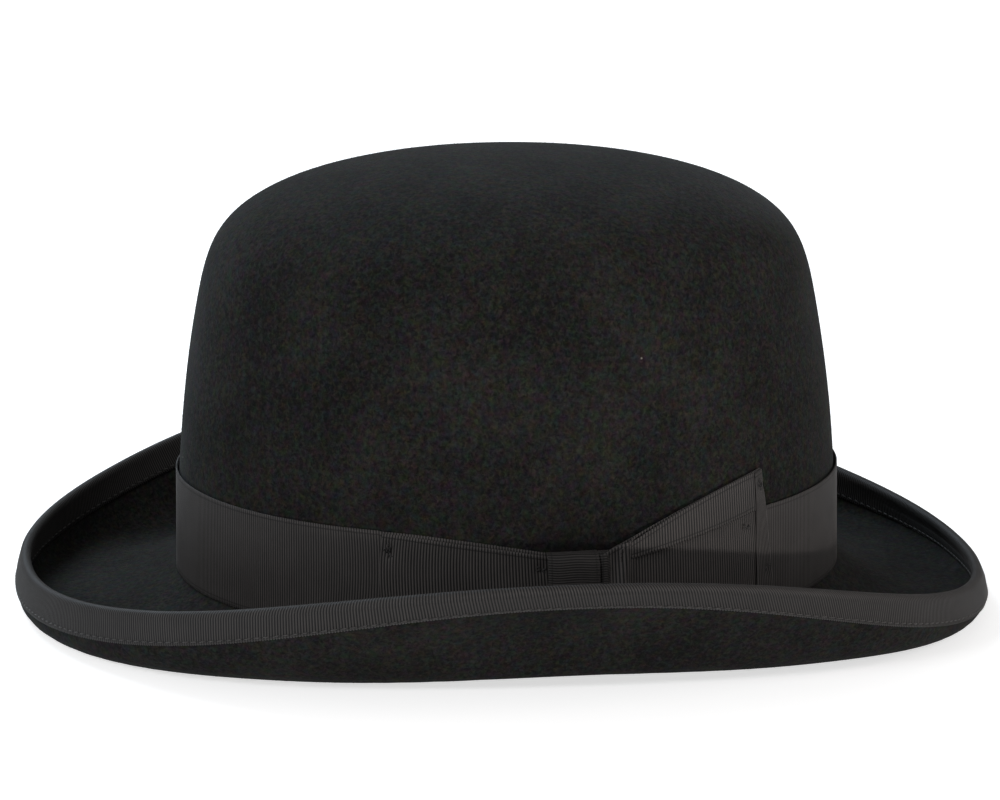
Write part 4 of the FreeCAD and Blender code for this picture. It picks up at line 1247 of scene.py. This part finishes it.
def lay_ribbon(name, ends, foot, top, proud, spots=(), per_rib=4, rows=20, slope=None):
    """A ribbon layer on the crown between two angles; foot, top and proud follow its length."""
    s = sizes()
    long = abs(ends[0] - ends[1])
    path = math.radians(long) * (s.crown_half_width + s.crown_half_length) / 2
    ribs = max(2, round(path / s.rib_pitch))
    share = np.linspace(0, 1, ribs * per_rib + 1)
    degrees = ends[0] + (ends[1] - ends[0]) * share
    up = np.r_[0, 0.02, np.linspace(0.06, 0.94, rows - 4), 0.98, 1.0][:, None]
    height = foot(share) + (top(share) - foot(share)) * up
    bend = slope(share, up) if slope else 0.0
    angle = np.radians(degrees + bend)
    body = s.ribbon_thickness - s.rib_height
    level = proud(share, up) + dents(degrees + bend, height, spots)
    outer = on_crown(angle, height, level + body)
    inner = on_crown(angle, height, level)
    run = (share * ribs + 0.5) * s.rib_pitch
    obj = ribbon_shell(name, outer, inner, run, height, False, 1.25)
    return ribbed(obj, bow_paint(), loops=0.00012)


def make_front_wing():
    over = sizes().ribbon_thickness + 0.0003
    wave = lambda s, k: 0.00025 * np.sin(k * 5.0 + s * 9.0) * s
    return lay_ribbon(
        "front_wing_ribbon",
        WING_FRONT,
        front_foot,
        front_top,
        lambda s, k: over + 0.0009 * s * s + wave(s, k),
        TACKS["bow_front_tacks"],
        slope=lambda s, k: -1.4 * (1 - s) * (k - 0.5) ** 2 * 4 * 0.6 + 0.9 * (k - 0.5),
    )


def make_rear_wing():
    over = sizes().ribbon_thickness + 0.0003

    def proud(s, k):
        fold = 0.0018 * np.exp(-(((s - 0.10 - 0.05 * (k - 0.5)) / 0.030) ** 2))
        slack = 0.0020 * (1 - s) ** 2
        return over + slack + fold + 0.0004 * (1 - s) * np.sin(4.2 * k + 3 * s)

    # the cut end leans forward at its top
    return lay_ribbon(
        "rear_wing_ribbon",
        WING_REAR,
        rear_foot,
        rear_top,
        proud,
        TACKS["bow_rear_tacks"][2:],
        rows=24,
        slope=lambda s, k: 2.6 * k * s ** 6,
    )


def make_rear_pleat():
    over = 2 * sizes().ribbon_thickness + 0.00042
    ends = (WING_REAR[0] - 3.0, HEM + 0.4)

    def proud(s, k):
        return over + 0.0020 * (1 - s) ** 2 + 0.00035 * (1 - k) * np.sin(np.pi * s)

    return lay_ribbon(
        "rear_pleat_ribbon",
        ends,
        lambda s: 0.0245 + 0.0085 * s,
        lambda s: rear_top(s * 0.87 + 0.06) - 0.0003,
        proud,
        rows=14,
    )


def make_rear_hem():
    over = 2 * sizes().ribbon_thickness + 0.00042
    return lay_ribbon(
        "rear_hem_ribbon",
        (HEM, WING_REAR[1] + 0.1),
        lambda s: 0.0018 + 0 * s,
        lambda s: rear_top(0.88 + 0.12 * s) - 0.0002,
        lambda s, k: over + 0.00012 * np.sin(9 * k) + 0 * s,
        TACKS["bow_rear_tacks"][:2] + TACKS["bow_rear_tacks"][3:],
        rows=22,
        slope=lambda s, k: 2.6 * k * s,
    )


def make_wrap(name, middle_angle, width, depth, foot, top, lift, seed):
    """A ribbon wrapped upright over the bow: its ribs lie level and its sides stay open."""
    s = sizes()
    pitch = s.knot_rib_pitch
    body = s.ribbon_thickness - s.rib_height
    fine = np.linspace(0, 1, 400)
    theta = np.pi * fine
    middle, tall = (foot + top) / 2, (top - foot) / 2
    # a flattened loop: up the front, rounded over the top and bottom edges
    across = -np.sign(np.cos(theta)) * np.abs(np.cos(theta)) ** 0.42
    away = np.abs(np.sin(theta)) ** 0.40
    z, out = middle + tall * across, depth * away
    steps = np.r_[0, np.cumsum(np.hypot(np.diff(z), np.diff(out)))]
    ribs = round(steps[-1] / pitch)
    here = np.linspace(0, steps[-1], ribs * 5 + 1)
    z, out = np.interp(here, steps, z), np.interp(here, steps, out)
    tz, tout = np.gradient(z), np.gradient(out)
    size = np.hypot(tz, tout)
    nz, nout = -tout / size, tz / size
    columns = max(8, round(width / 0.0006))
    side = np.r_[-1, -0.97, np.linspace(-0.9, 0.9, columns), 0.97, 1][:, None]
    crease = soft_waves(in_frame(side * width, 0, z), 0.016, seed) * 0.00030
    belly = 1.0 - 0.22 * np.abs(side) ** 2.5
    droop = -0.00035 * side + 0.00025 * np.sin(3.1 * side + 1.0)

    def shell(thick):
        proud = lift + (out + crease * np.sin(np.pi * np.linspace(0, 1, len(z)))) * belly + thick * nout
        height = z + thick * nz + droop * (out / depth)
        angle = math.radians(middle_angle) - side * width / 2 / s.crown_half_length
        return on_crown(angle, height, proud)

    run = (here * ribs / steps[-1] + 0.5) * pitch
    obj = ribbon_shell(name, shell(body), shell(0.0), run, side[:, 0] * width / 2, False, 1.2)
    return ribbed(obj, knot_paint(), pitch=pitch, height=s.rib_height * 1.1, loops=0.00012)


def make_knot():
    s = sizes()
    lift = s.ribbon_thickness + 0.0001
    return make_wrap("knot_ribbon", KNOT_ANGLE, 0.0150, 0.0041, 0.0046, 0.0270, lift, s.seed + 11)


def make_tuck():
    s = sizes()
    lift = s.ribbon_thickness + 0.0001
    return make_wrap("tuck_ribbon", TUCK_ANGLE, 0.0030, 0.0028, 0.0052, 0.0266, lift, s.seed + 12)


TACK_LEVELS = {"bow_front_tacks": 2, "bow_rear_tacks": 3, "band_lower_stitches": 1}


def make_tacks(name):
    """Two short crossed stitches of black thread at each spot that holds the ribbon down."""
    s = sizes()
    rows = []
    over = TACK_LEVELS[name] * s.ribbon_thickness + 0.00015
    for number, (degrees, height) in enumerate(TACKS[name]):
        extra = 0.0009 if degrees < 95 and name == "bow_front_tacks" else 0.0
        for turn in (0.35, 1.25):
            angle = math.radians(degrees)
            out = np.array([math.sin(angle) / s.crown_half_width, math.cos(angle) / s.crown_half_length, 0])
            out /= np.linalg.norm(out)
            along = np.cross([0, 0, 1], out)
            way = along * math.cos(turn + number) + np.array([0, 0, 1]) * math.sin(turn + number)
            middle = on_crown(angle, height, over + extra)
            ends = np.array([middle - way * 0.0009, middle + way * 0.0009])
            facing = np.array([out, out])
            values = {
                "Pitch": 0.0016,
                "Stitch Length": 0.0016,
                "Thread": s.thread,
                "Slant": 0.2,
                "Wander": 0.5,
            }
            rows.append(stitched_line("tack", ends, facing, False, values, tack_thread()))
    return joined(name + "_threads", rows)


# ---------------------------------------------------------------- sweatband


SWEAT_FOOT, SWEAT_TOP, SWEAT_TAPER = -0.0006, 0.0520, 0.0029
LEATHER, REED_RADIUS, TAPE = 0.0009, 0.0009, 0.0003
SWEAT_OFFSET = 0.0038


def oval(angle, less, height):
    """Points on the head's oval, less taken off the crown's half sizes."""
    s = sizes()
    y = (s.crown_half_length - less) * np.cos(angle) + CROWN_LEAN * np.asarray(height)
    return in_frame((s.crown_half_width - less) * np.sin(angle), y, height)


def oval_shell(name, less, height, thick):
    """A closed sleeve with walls from rows of offsets and heights; less is its outer side."""
    outer = oval_rows(less, height)
    inner = oval_rows(less + thick, height)
    points = np.concatenate([outer, inner[::-1]])
    rows, columns = points.shape[:2]
    angle = np.linspace(0, 2 * np.pi, columns, endpoint=False)
    run = np.broadcast_to(angle * 0.098, (rows, columns))
    up = np.r_[height[:, 0], height[::-1, 0]][:, None] + np.zeros((1, columns))
    return piece(name, points, grid_faces(rows, columns, True, True), {"run": run, "across": up})


def oval_rows(less, height):
    """Rows of points on ovals, one row for each offset and height."""
    angle = np.linspace(0, 2 * np.pi, less.shape[1], endpoint=False)
    return oval(angle[None, :], less, height)


def sweat_less(height):
    return SWEAT_OFFSET + SWEAT_TAPER * (height - SWEAT_FOOT) / (SWEAT_TOP - SWEAT_FOOT)


def make_sweatband():
    """Leather band: a rolled upper edge, a slightly wavy hang and the pressed line over the reed."""
    columns = 360
    share = np.r_[0, 0.01, np.linspace(0.04, 0.96, 30), 0.985, 1.0][:, None] + np.zeros((1, columns))
    height = SWEAT_FOOT + (SWEAT_TOP - SWEAT_FOOT) * share
    angle = np.linspace(0, 2 * np.pi, columns, endpoint=False)
    hang = 0.0004 * np.sin(5 * angle + 1) + 0.0003 * np.sin(11 * angle) + 0.00015 * np.sin(23 * angle + 2)
    pressed = -0.00025 * np.exp(-(((height - 0.0045) / 0.0012) ** 2))
    less = sweat_less(height) + (hang + 0.0004) * share ** 2 - pressed
    obj = oval_shell("sweatband_leather", less, height, LEATHER)
    obj.data.materials.append(once("sweatband_leather_finish", leather_material))
    return obj


def ring_rod(name, less, height, radius, sides=10, columns=240):
    turn = np.linspace(0, 2 * np.pi, sides, endpoint=False)[:, None]
    angle = np.linspace(0, 2 * np.pi, columns, endpoint=False)[None, :]
    points = oval(angle, less + radius * np.cos(turn), height + radius * np.sin(turn))
    run = np.broadcast_to(angle * 0.098, points.shape[:2])
    across = np.broadcast_to(turn * radius, points.shape[:2])
    return piece(name, points, grid_faces(sides, columns, True, True), {"run": run, "across": across})


REED_LEVEL = SWEAT_FOOT - REED_RADIUS - 0.0001
REED_OFFSET = SWEAT_OFFSET + LEATHER / 2


def make_reed():
    obj = ring_rod("reed_rod", REED_OFFSET, REED_LEVEL, REED_RADIUS * 0.97)
    obj.data.materials.append(once("reed_finish", lambda n: thread_material(n, (0.55, 0.42, 0.27), 0.5)))
    return obj


def make_tape():
    """The welt tape, folded round the reed with one leg on each face of the leather."""
    top = SWEAT_FOOT + 0.0080
    turn = np.pi + np.pi * np.arange(0, 9) / 8
    radius = REED_RADIUS + 0.00004

    def leg(r):
        left = [(-r, h) for h in (top, top * 0.75, top / 2, top / 4)]
        bend = [(r * math.cos(a), REED_LEVEL + r * math.sin(a)) for a in turn]
        return np.array(left + bend + [(r, h) for h in (top * 0.15, top * 0.35, top * 0.55)])

    columns = 240
    angle = np.linspace(0, 2 * np.pi, columns, endpoint=False)[None, :]
    sides = []
    for r in (radius + TAPE, radius):
        path = leg(r)
        sides.append(oval(angle, REED_OFFSET - path[:, :1], path[:, 1:]))
    points = np.concatenate([sides[0], sides[1][::-1]])
    rows = len(points)
    steps = np.r_[0, np.cumsum(np.hypot(*np.diff(leg(radius), axis=0).T))]
    across = np.r_[steps, steps[::-1]][:, None] + np.zeros((1, columns))
    run = np.broadcast_to(angle * 0.098, (rows, columns))
    obj = piece("welt_tape", points, grid_faces(rows, columns, True, True), {"run": run, "across": across})
    weave = lambda n: woven_material(n, (0.05, 0.047, 0.045), 0.0006, 0.7, 0.3)
    obj.data.materials.append(once("welt_tape_finish", weave))
    return obj


def inward(angle):
    s = sizes()
    way = -np.stack([np.sin(angle) / s.crown_half_width, np.cos(angle) / s.crown_half_length, 0 * angle], -1)
    return way / np.linalg.norm(way, axis=-1, keepdims=True)


def make_sweat_stitches():
    angle = np.linspace(0, 2 * np.pi, 720, endpoint=False)
    points = oval(angle, SWEAT_OFFSET + LEATHER + 0.00056, SWEAT_FOOT + 0.0022)
    values = {"Pitch": 0.0027, "Stitch Length": 0.0020, "Thread": 0.0004, "Slant": 0.05, "Wander": 0.04}
    return stitched_line("sweatband_stitches", points, inward(angle), True, values, light_thread())


def make_seam_stitches():
    """Zigzag thread that joins the leather's two ends at the back of the head."""
    bottom, top, pitch, half = 0.0120, 0.0460, 0.0030, 0.0020
    count = int((top - bottom) / pitch)
    corners = [((1 if i % 2 else -1) * half, bottom + i * pitch) for i in range(count + 1)]
    rows = []
    for (x0, z0), (x1, z1) in zip(corners, corners[1:]):
        ends = []
        for x, z in ((x0, z0), (x1, z1)):
            less = sweat_less(z) + LEATHER + 0.0011
            angle = x / sizes().crown_half_length
            ends.append(oval(np.array(angle), less, z))
        middle = (ends[0] + ends[1]) / 2
        way = ends[1] - ends[0]
        span = float(np.linalg.norm(way))
        line = np.array([middle - way * 0.5, middle + way * 0.5])
        facing = np.array([inward(np.array(0.0))] * 2)
        values = {
            "Pitch": span * 1.2,
            "Stitch Length": span * 0.95,
            "Thread": 0.0004,
            "Slant": 0.0,
            "Wander": 0.0,
        }
        rows.append(stitched_line("seam", line, facing, False, values, light_thread()))
    return joined("sweatband_seam_threads", rows)


def make_sweat_bow():
    """A small flat ribbon bow over the seam: two loops with a narrow tied middle."""
    s = sizes()
    half, tall = 0.0130, 0.0040
    across = np.linspace(-1, 1, 101)
    waist = 0.42 + 0.58 * eased(np.abs(across) * 1.15)
    up = np.linspace(-1, 1, 9)[:, None]
    x = half * across
    z = 0.0070 + tall * up * waist - 0.0004 * np.abs(across)
    puff = 0.0009 * np.sin(np.pi * np.clip(np.abs(across), 0, 1))
    puff = puff + 0.0003 * np.cos(6 * up) * (1 - np.abs(across))
    tied = 0.0007 * np.exp(-((across / 0.12) ** 4))

    def side(extra):
        less = sweat_less(z) + LEATHER + 0.0013 + puff + tied + extra
        return oval(x / s.crown_half_length, less, z)

    obj = ribbon_shell("inner_bow", side(0.0003), side(0.0), x + half, z[:, 50], False, 1.0)
    ribbon = once("small_ribbon_finish", lambda n: grosgrain_material(n, 0.0006, 1.3, 0.4))
    return ribbed(obj, ribbon, pitch=0.0006, height=0.00006, loops=0.00003)


def make_ticket():
    """The paper size ticket tucked on the leather, its corners lifted a little. It carries no lettering."""
    s = sizes()
    across, up = np.linspace(-1, 1, 25), np.linspace(-1, 1, 13)[:, None]
    x, z = 0.0120 * across, 0.0220 + 0.0065 * up
    lift = 0.0009 * (np.abs(across) * np.abs(up)) ** 4
    angle = math.radians(28) + x / s.crown_half_length

    def side(extra):
        return oval(angle, sweat_less(z) + LEATHER + 0.0011 + lift + extra, z + 0 * across)

    obj = ribbon_shell("ticket_card", side(0.0003), side(0.0), x, z[:, 0], False)
    obj.data.materials.append(once("ticket_paper_finish", ticket_material))
    return obj


# ---------------------------------------------------------------- lining


RING_HEIGHT = 0.1040
# the wall follows the felt up to the bend, then leans in to the ring
LINING_FOOT, LINING_BEND = 0.0440, 0.078


def lining_shape():
    s = sizes()
    share = float(crown_share(RING_HEIGHT))
    long = s.crown_half_length * share - s.felt_thickness * 1.6
    wide = s.crown_half_width * share - s.felt_thickness * 1.6
    return long, wide


def lining_oval(angle, height, gather):
    """The lining wall's outer side at a height, in from the felt, with gathers."""
    s = sizes()
    long, wide = lining_shape()
    top = np.clip((height - LINING_BEND) / (RING_HEIGHT - LINING_BEND), 0, 1)
    low = crown_share(np.minimum(height, LINING_BEND))
    y0 = s.crown_half_length * low - s.felt_thickness - 0.0005
    x0 = s.crown_half_width * low - s.felt_thickness - 0.0005
    y, x = y0 + (long - y0) * top - gather, x0 + (wide - x0) * top - gather
    return in_frame(x * np.sin(angle), y * np.cos(angle) + CROWN_LEAN * height, height)


def make_lining_side():
    """The satin wall: soft gathers that sharpen towards the ring where it meets the tip."""
    columns, rows = 720, 44
    angle = np.linspace(0, 2 * np.pi, columns, endpoint=False)[None, :]
    height = np.linspace(LINING_FOOT, RING_HEIGHT, rows)[:, None]
    climb = (height - LINING_FOOT) / (RING_HEIGHT - LINING_FOOT)
    folds = 72
    drift = 0.35 * np.sin(3 * angle + 1.3) + 0.3 * np.sin(7 * angle)
    wave = 0.5 + 0.5 * np.sin(folds * angle + 2.2 * drift + 1.4 * np.sin(2 * climb * 3 + 5 * angle))
    gather = 0.0003 + (0.0004 + 0.0011 * climb ** 1.5) * wave
    outer = lining_oval(angle, height, gather)
    inner = lining_oval(angle, height, gather + 0.0004)
    points = np.concatenate([outer, inner[::-1]])
    run = np.broadcast_to(angle * 0.09, (2 * rows, columns))
    across = np.concatenate([height, height[::-1]]) + np.zeros((1, columns))
    faces = grid_faces(2 * rows, columns, True, True)
    obj = piece("lining_wall", points, faces, {"run": run, "across": across})
    obj.data.materials.append(satin_paint())
    return obj


def make_lining_tip():
    """The domed oval of satin under the crown's top, puckered where it is sewn to the wall."""
    s = sizes()
    long, wide = (v - 0.0026 for v in lining_shape())
    edge, top = RING_HEIGHT + 0.0008, s.crown_height - s.felt_thickness - 0.0020
    share = np.r_[np.linspace(0.02, 0.9, 34), np.linspace(0.92, 1.0, 8)][:, None]
    columns = 360
    angle = np.linspace(0, 2 * np.pi, columns, endpoint=False)[None, :]
    pucker = 0.0007 * np.sin(60 * angle + np.sin(4 * angle)) * share ** 10

    def dome(drop):
        level = edge + (top - edge) * (1 - share ** 2.6) - drop - np.abs(pucker) * (share < 0.999)
        return in_frame(wide * share * np.sin(angle), long * share * np.cos(angle), level)

    upper, lower = dome(0.0), dome(0.0004)
    points = np.concatenate([upper, lower[::-1]])
    rows = len(points)
    poles = np.array([[0, 0, top], [0, 0, top - 0.0004]])
    x, y = points[..., 0], points[..., 1]
    values = {"run": np.r_[y.ravel(), 0, 0], "across": np.r_[x.ravel(), 0, 0]}
    points = np.concatenate([points.reshape(-1, 3), poles])
    obj = piece("lining_dome", points, felt_faces(rows, columns), values)
    obj.data.materials.append(satin_paint())
    return obj


def make_piping():
    """The cord covered in satin round the tip, with a slanting twist."""
    long, wide = (v - 0.0016 for v in lining_shape())
    sides, columns, radius = 14, 960, 0.00105
    turn = np.linspace(0, 2 * np.pi, sides, endpoint=False)[:, None]
    angle = np.linspace(0, 2 * np.pi, columns, endpoint=False)[None, :]
    rope = radius * (1 + 0.09 * np.abs(np.sin(160 * angle / 2 + turn)))
    x = (wide + rope * np.cos(turn)) * np.sin(angle)
    y = (long + rope * np.cos(turn)) * np.cos(angle)
    points = in_frame(x, y, RING_HEIGHT - 0.0004 + rope * np.sin(turn))
    run = np.broadcast_to(angle * 0.09, points.shape[:2])
    across = np.broadcast_to(turn * radius, points.shape[:2])
    obj = piece("piping", points, grid_faces(sides, columns, True, True), {"run": run, "across": across})
    weave = lambda n: woven_material(n, (0.09, 0.03, 0.02), 0.0004, 0.4, 0.3)
    obj.data.materials.append(once("piping_cord_finish", weave))
    return obj


# ---------------------------------------------------------------- stage


def aim(from_point, at_point):
    back = (Vector(from_point) - Vector(at_point)).normalized()
    return back.to_track_quat("Z", "Y").to_matrix().to_4x4()


def area_light(name, azimuth, elevation, distance, size, power, tint, at=(0, 0, 0.06)):
    a, e = math.radians(azimuth), math.radians(elevation)
    spot = Vector(at) + distance * Vector(
        (math.sin(a) * math.cos(e), -math.cos(a) * math.cos(e), math.sin(e))
    )
    data = bpy.data.lights.new(name, "AREA")
    data.shape, data.size, data.energy, data.color = "DISK", size, power, tint
    lamp = bpy.data.objects.new(name, data)
    bpy.context.scene.collection.objects.link(lamp)
    lamp.matrix_world = Matrix.Translation(spot) @ aim(spot, at)
    lamp.visible_camera = False
    return lamp


def make_camera():
    """A long lens from the bow's side, a little towards the front and above."""
    azimuth, elevation, distance = math.radians(-11.168), math.radians(16.255), 1.21428
    back = Vector(
        (
            math.cos(elevation) * math.cos(azimuth),
            math.cos(elevation) * math.sin(azimuth),
            math.sin(elevation),
        )
    )
    right = Vector((0, 0, 1)).cross(back).normalized()
    up = back.cross(right)
    look = Matrix((right, up, back)).transposed().to_4x4()
    roll = Matrix.Rotation(math.radians(0.296), 4, "Z")
    pan = Matrix.Rotation(math.radians(0.123), 4, "Y") @ Matrix.Rotation(math.radians(2.385), 4, "X")
    data = bpy.data.cameras.new("camera")
    data.lens, data.sensor_width = 135.5, 36.0
    data.clip_start, data.clip_end = 0.05, 20.0
    camera = bpy.data.objects.new("camera", data)
    bpy.context.scene.collection.objects.link(camera)
    camera.matrix_world = seat_matrix() @ Matrix.Translation(back * distance) @ look @ roll @ pan
    bpy.context.scene.camera = camera


def make_stage():
    scene = bpy.context.scene
    mesh = bpy.data.meshes.new("floor")
    size = 6.0
    corners = [(-size, -size, 0), (size, -size, 0), (size, size, 0), (-size, size, 0)]
    mesh.from_pydata(corners, [], [(0, 1, 2, 3)])
    floor = bpy.data.objects.new("floor", mesh)
    scene.collection.objects.link(floor)
    p = Paint("floor", {"Roughness": 0.9, "Specular IOR Level": 0.1, "Base Color": rgba(finishes().floor)})
    p.shader.inputs["Emission Color"].default_value = (1, 1, 1, 1)
    seen = p.put("ShaderNodeLightPath").outputs["Is Camera Ray"]
    p.links.new(p.math("ADD", 0.10, p.math("MULTIPLY", seen, 0.55)), p.shader.inputs["Emission Strength"])
    mesh.materials.append(p.material)
    world = bpy.data.worlds.new("studio")
    world.use_nodes = True
    world.node_tree.nodes["Background"].inputs["Color"].default_value = (1.0, 1.0, 1.0, 1)
    # the backdrop looks white, and lights the hat more softly than it looks
    nodes, links = world.node_tree.nodes, world.node_tree.links
    path = nodes.new("ShaderNodeLightPath")
    strength = nodes.new("ShaderNodeMapRange")
    strength.inputs["To Min"].default_value = 0.30
    links.new(path.outputs["Is Camera Ray"], strength.inputs["Value"])
    links.new(strength.outputs[0], nodes["Background"].inputs["Strength"])
    scene.world = world
    area_light("key", 40, 27, 1.6, 0.5, 7.5, (0.97, 0.98, 1.0))
    area_light("low_side", 116, 0.1, 0.9, 0.03, 2.2, (1.0, 0.95, 0.92), (0, 0, 0.016))
    area_light("left_fill", -60, 48, 1.5, 0.9, 13.0, (0.74, 0.88, 1.0))
    area_light("right_fill", 160, 25, 1.6, 0.8, 4.5, (1.0, 0.94, 0.91))
    scene.view_settings.view_transform = "Standard"
    scene.view_settings.look = "None"
    make_camera()


# ---------------------------------------------------------------- operators


class HAT_OT_felt(bpy.types.Operator):
    """Block the one-piece felt body: crown, brim and curled edge"""

    bl_idname = "hat.felt"
    bl_label = "Felt body"

    def execute(self, context):
        settle(make_felt(), ["felt_body"])
        return {"FINISHED"}


class HAT_OT_nap(bpy.types.Operator):
    """Scatter the felt's short loose fibres over its open surfaces"""

    bl_idname = "hat.nap"
    bl_label = "Felt nap"

    def execute(self, context):
        settle(make_nap(bpy.data.objects["felt"]))
        return {"FINISHED"}


class HAT_OT_binding(bpy.types.Operator):
    """Fold the grosgrain binding over the brim's edge and sew it down"""

    bl_idname = "hat.binding"
    bl_label = "Brim binding"

    def execute(self, context):
        binding = settle(make_binding(), ["brim_binding"])
        stitches = settle(make_binding_stitches(), ["binding_stitching"])
        return {"FINISHED"}


class HAT_OT_band(bpy.types.Operator):
    """Lay the grosgrain band round the foot of the crown"""

    bl_idname = "hat.band"
    bl_label = "Hat band"

    def execute(self, context):
        band = settle(make_band(), ["hat_band"])
        settle(make_tacks("band_lower_stitches"), ["band_lower_stitches"])
        return {"FINISHED"}


class HAT_OT_bow(bpy.types.Operator):
    """Fold the flat side bow: two wings, the rear pleat and hem, the wrapped knot and its tuck"""

    bl_idname = "hat.bow"
    bl_label = "Side bow"

    def execute(self, context):
        front = settle(make_front_wing(), ["bow_front_wing"])
        rear = settle(make_rear_wing(), ["bow_rear_wing"])
        pleat = settle(make_rear_pleat(), ["bow_rear_pleat"])
        hem = settle(make_rear_hem(), ["bow_rear_hem"])
        knot = settle(make_knot(), ["bow_knot"])
        tuck = settle(make_tuck(), ["bow_knot_tuck"])
        front_tacks = settle(make_tacks("bow_front_tacks"), ["bow_front_tacks"])
        rear_tacks = settle(make_tacks("bow_rear_tacks"), ["bow_rear_tacks"])
        return {"FINISHED"}


class HAT_OT_sweatband(bpy.types.Operator):
    """Fit the leather sweatband with its reed, tape, stitches, small bow and size ticket"""

    bl_idname = "hat.sweatband"
    bl_label = "Sweatband"

    def execute(self, context):
        settle(make_sweatband(), ["sweatband"])
        settle(make_reed(), ["sweatband_reed"])
        tape = settle(make_tape(), ["sweatband_reed_tape"])
        settle(make_sweat_stitches(), ["sweatband_stitching"])
        settle(make_seam_stitches(), ["sweatband_seam_stitches"])
        bow = settle(make_sweat_bow(), ["sweatband_bow"])
        settle(make_ticket(), ["size_ticket"])
        return {"FINISHED"}


class HAT_OT_lining(bpy.types.Operator):
    """Hang the satin lining: gathered wall, domed tip and the piping between them"""

    bl_idname = "hat.lining"
    bl_label = "Lining"

    def execute(self, context):
        side = settle(make_lining_side(), ["lining_side"])
        tip = settle(make_lining_tip(), ["lining_tip"])
        piping = settle(make_piping(), ["lining_piping"])
        return {"FINISHED"}


class HAT_OT_stage(bpy.types.Operator):
    """Set the pale floor, the soft studio lights and the camera"""

    bl_idname = "hat.stage"
    bl_label = "Studio"

    def execute(self, context):
        make_stage()
        return {"FINISHED"}


class HAT_PT_maker(bpy.types.Panel):
    """The hat's settings and its pieces in the order they are made"""

    bl_idname = "HAT_PT_maker"
    bl_label = "Bowler hat"
    bl_space_type = "VIEW_3D"
    bl_region_type = "UI"
    bl_category = "Hat"

    def draw(self, context):
        layout = self.layout
        for group in (context.scene.hat_sizes, context.scene.hat_finishes):
            column = layout.column()
            for name in group.bl_rna.properties.keys():
                if name not in ("rna_type", "name"):
                    column.prop(group, name)
        for step in STEPS:
            layout.operator(step.bl_idname)


STEPS = (
    HAT_OT_felt,
    HAT_OT_nap,
    HAT_OT_binding,
    HAT_OT_band,
    HAT_OT_bow,
    HAT_OT_sweatband,
    HAT_OT_lining,
    HAT_OT_stage,
)
CLASSES = (HatSizes, HatFinishes, *STEPS, HAT_PT_maker)


def register():
    for each in CLASSES:
        bpy.utils.register_class(each)
    bpy.types.Scene.hat_sizes = PointerProperty(type=HatSizes)
    bpy.types.Scene.hat_finishes = PointerProperty(type=HatFinishes)


def unregister():
    del bpy.types.Scene.hat_sizes
    del bpy.types.Scene.hat_finishes
    for each in reversed(CLASSES):
        bpy.utils.unregister_class(each)


def main():
    register()
    bpy.ops.hat.felt()
    bpy.ops.hat.nap()
    bpy.ops.hat.binding()
    bpy.ops.hat.band()
    bpy.ops.hat.bow()
    bpy.ops.hat.sweatband()
    bpy.ops.hat.lining()
    bpy.ops.hat.stage()


if __name__ == "__main__":
    main()
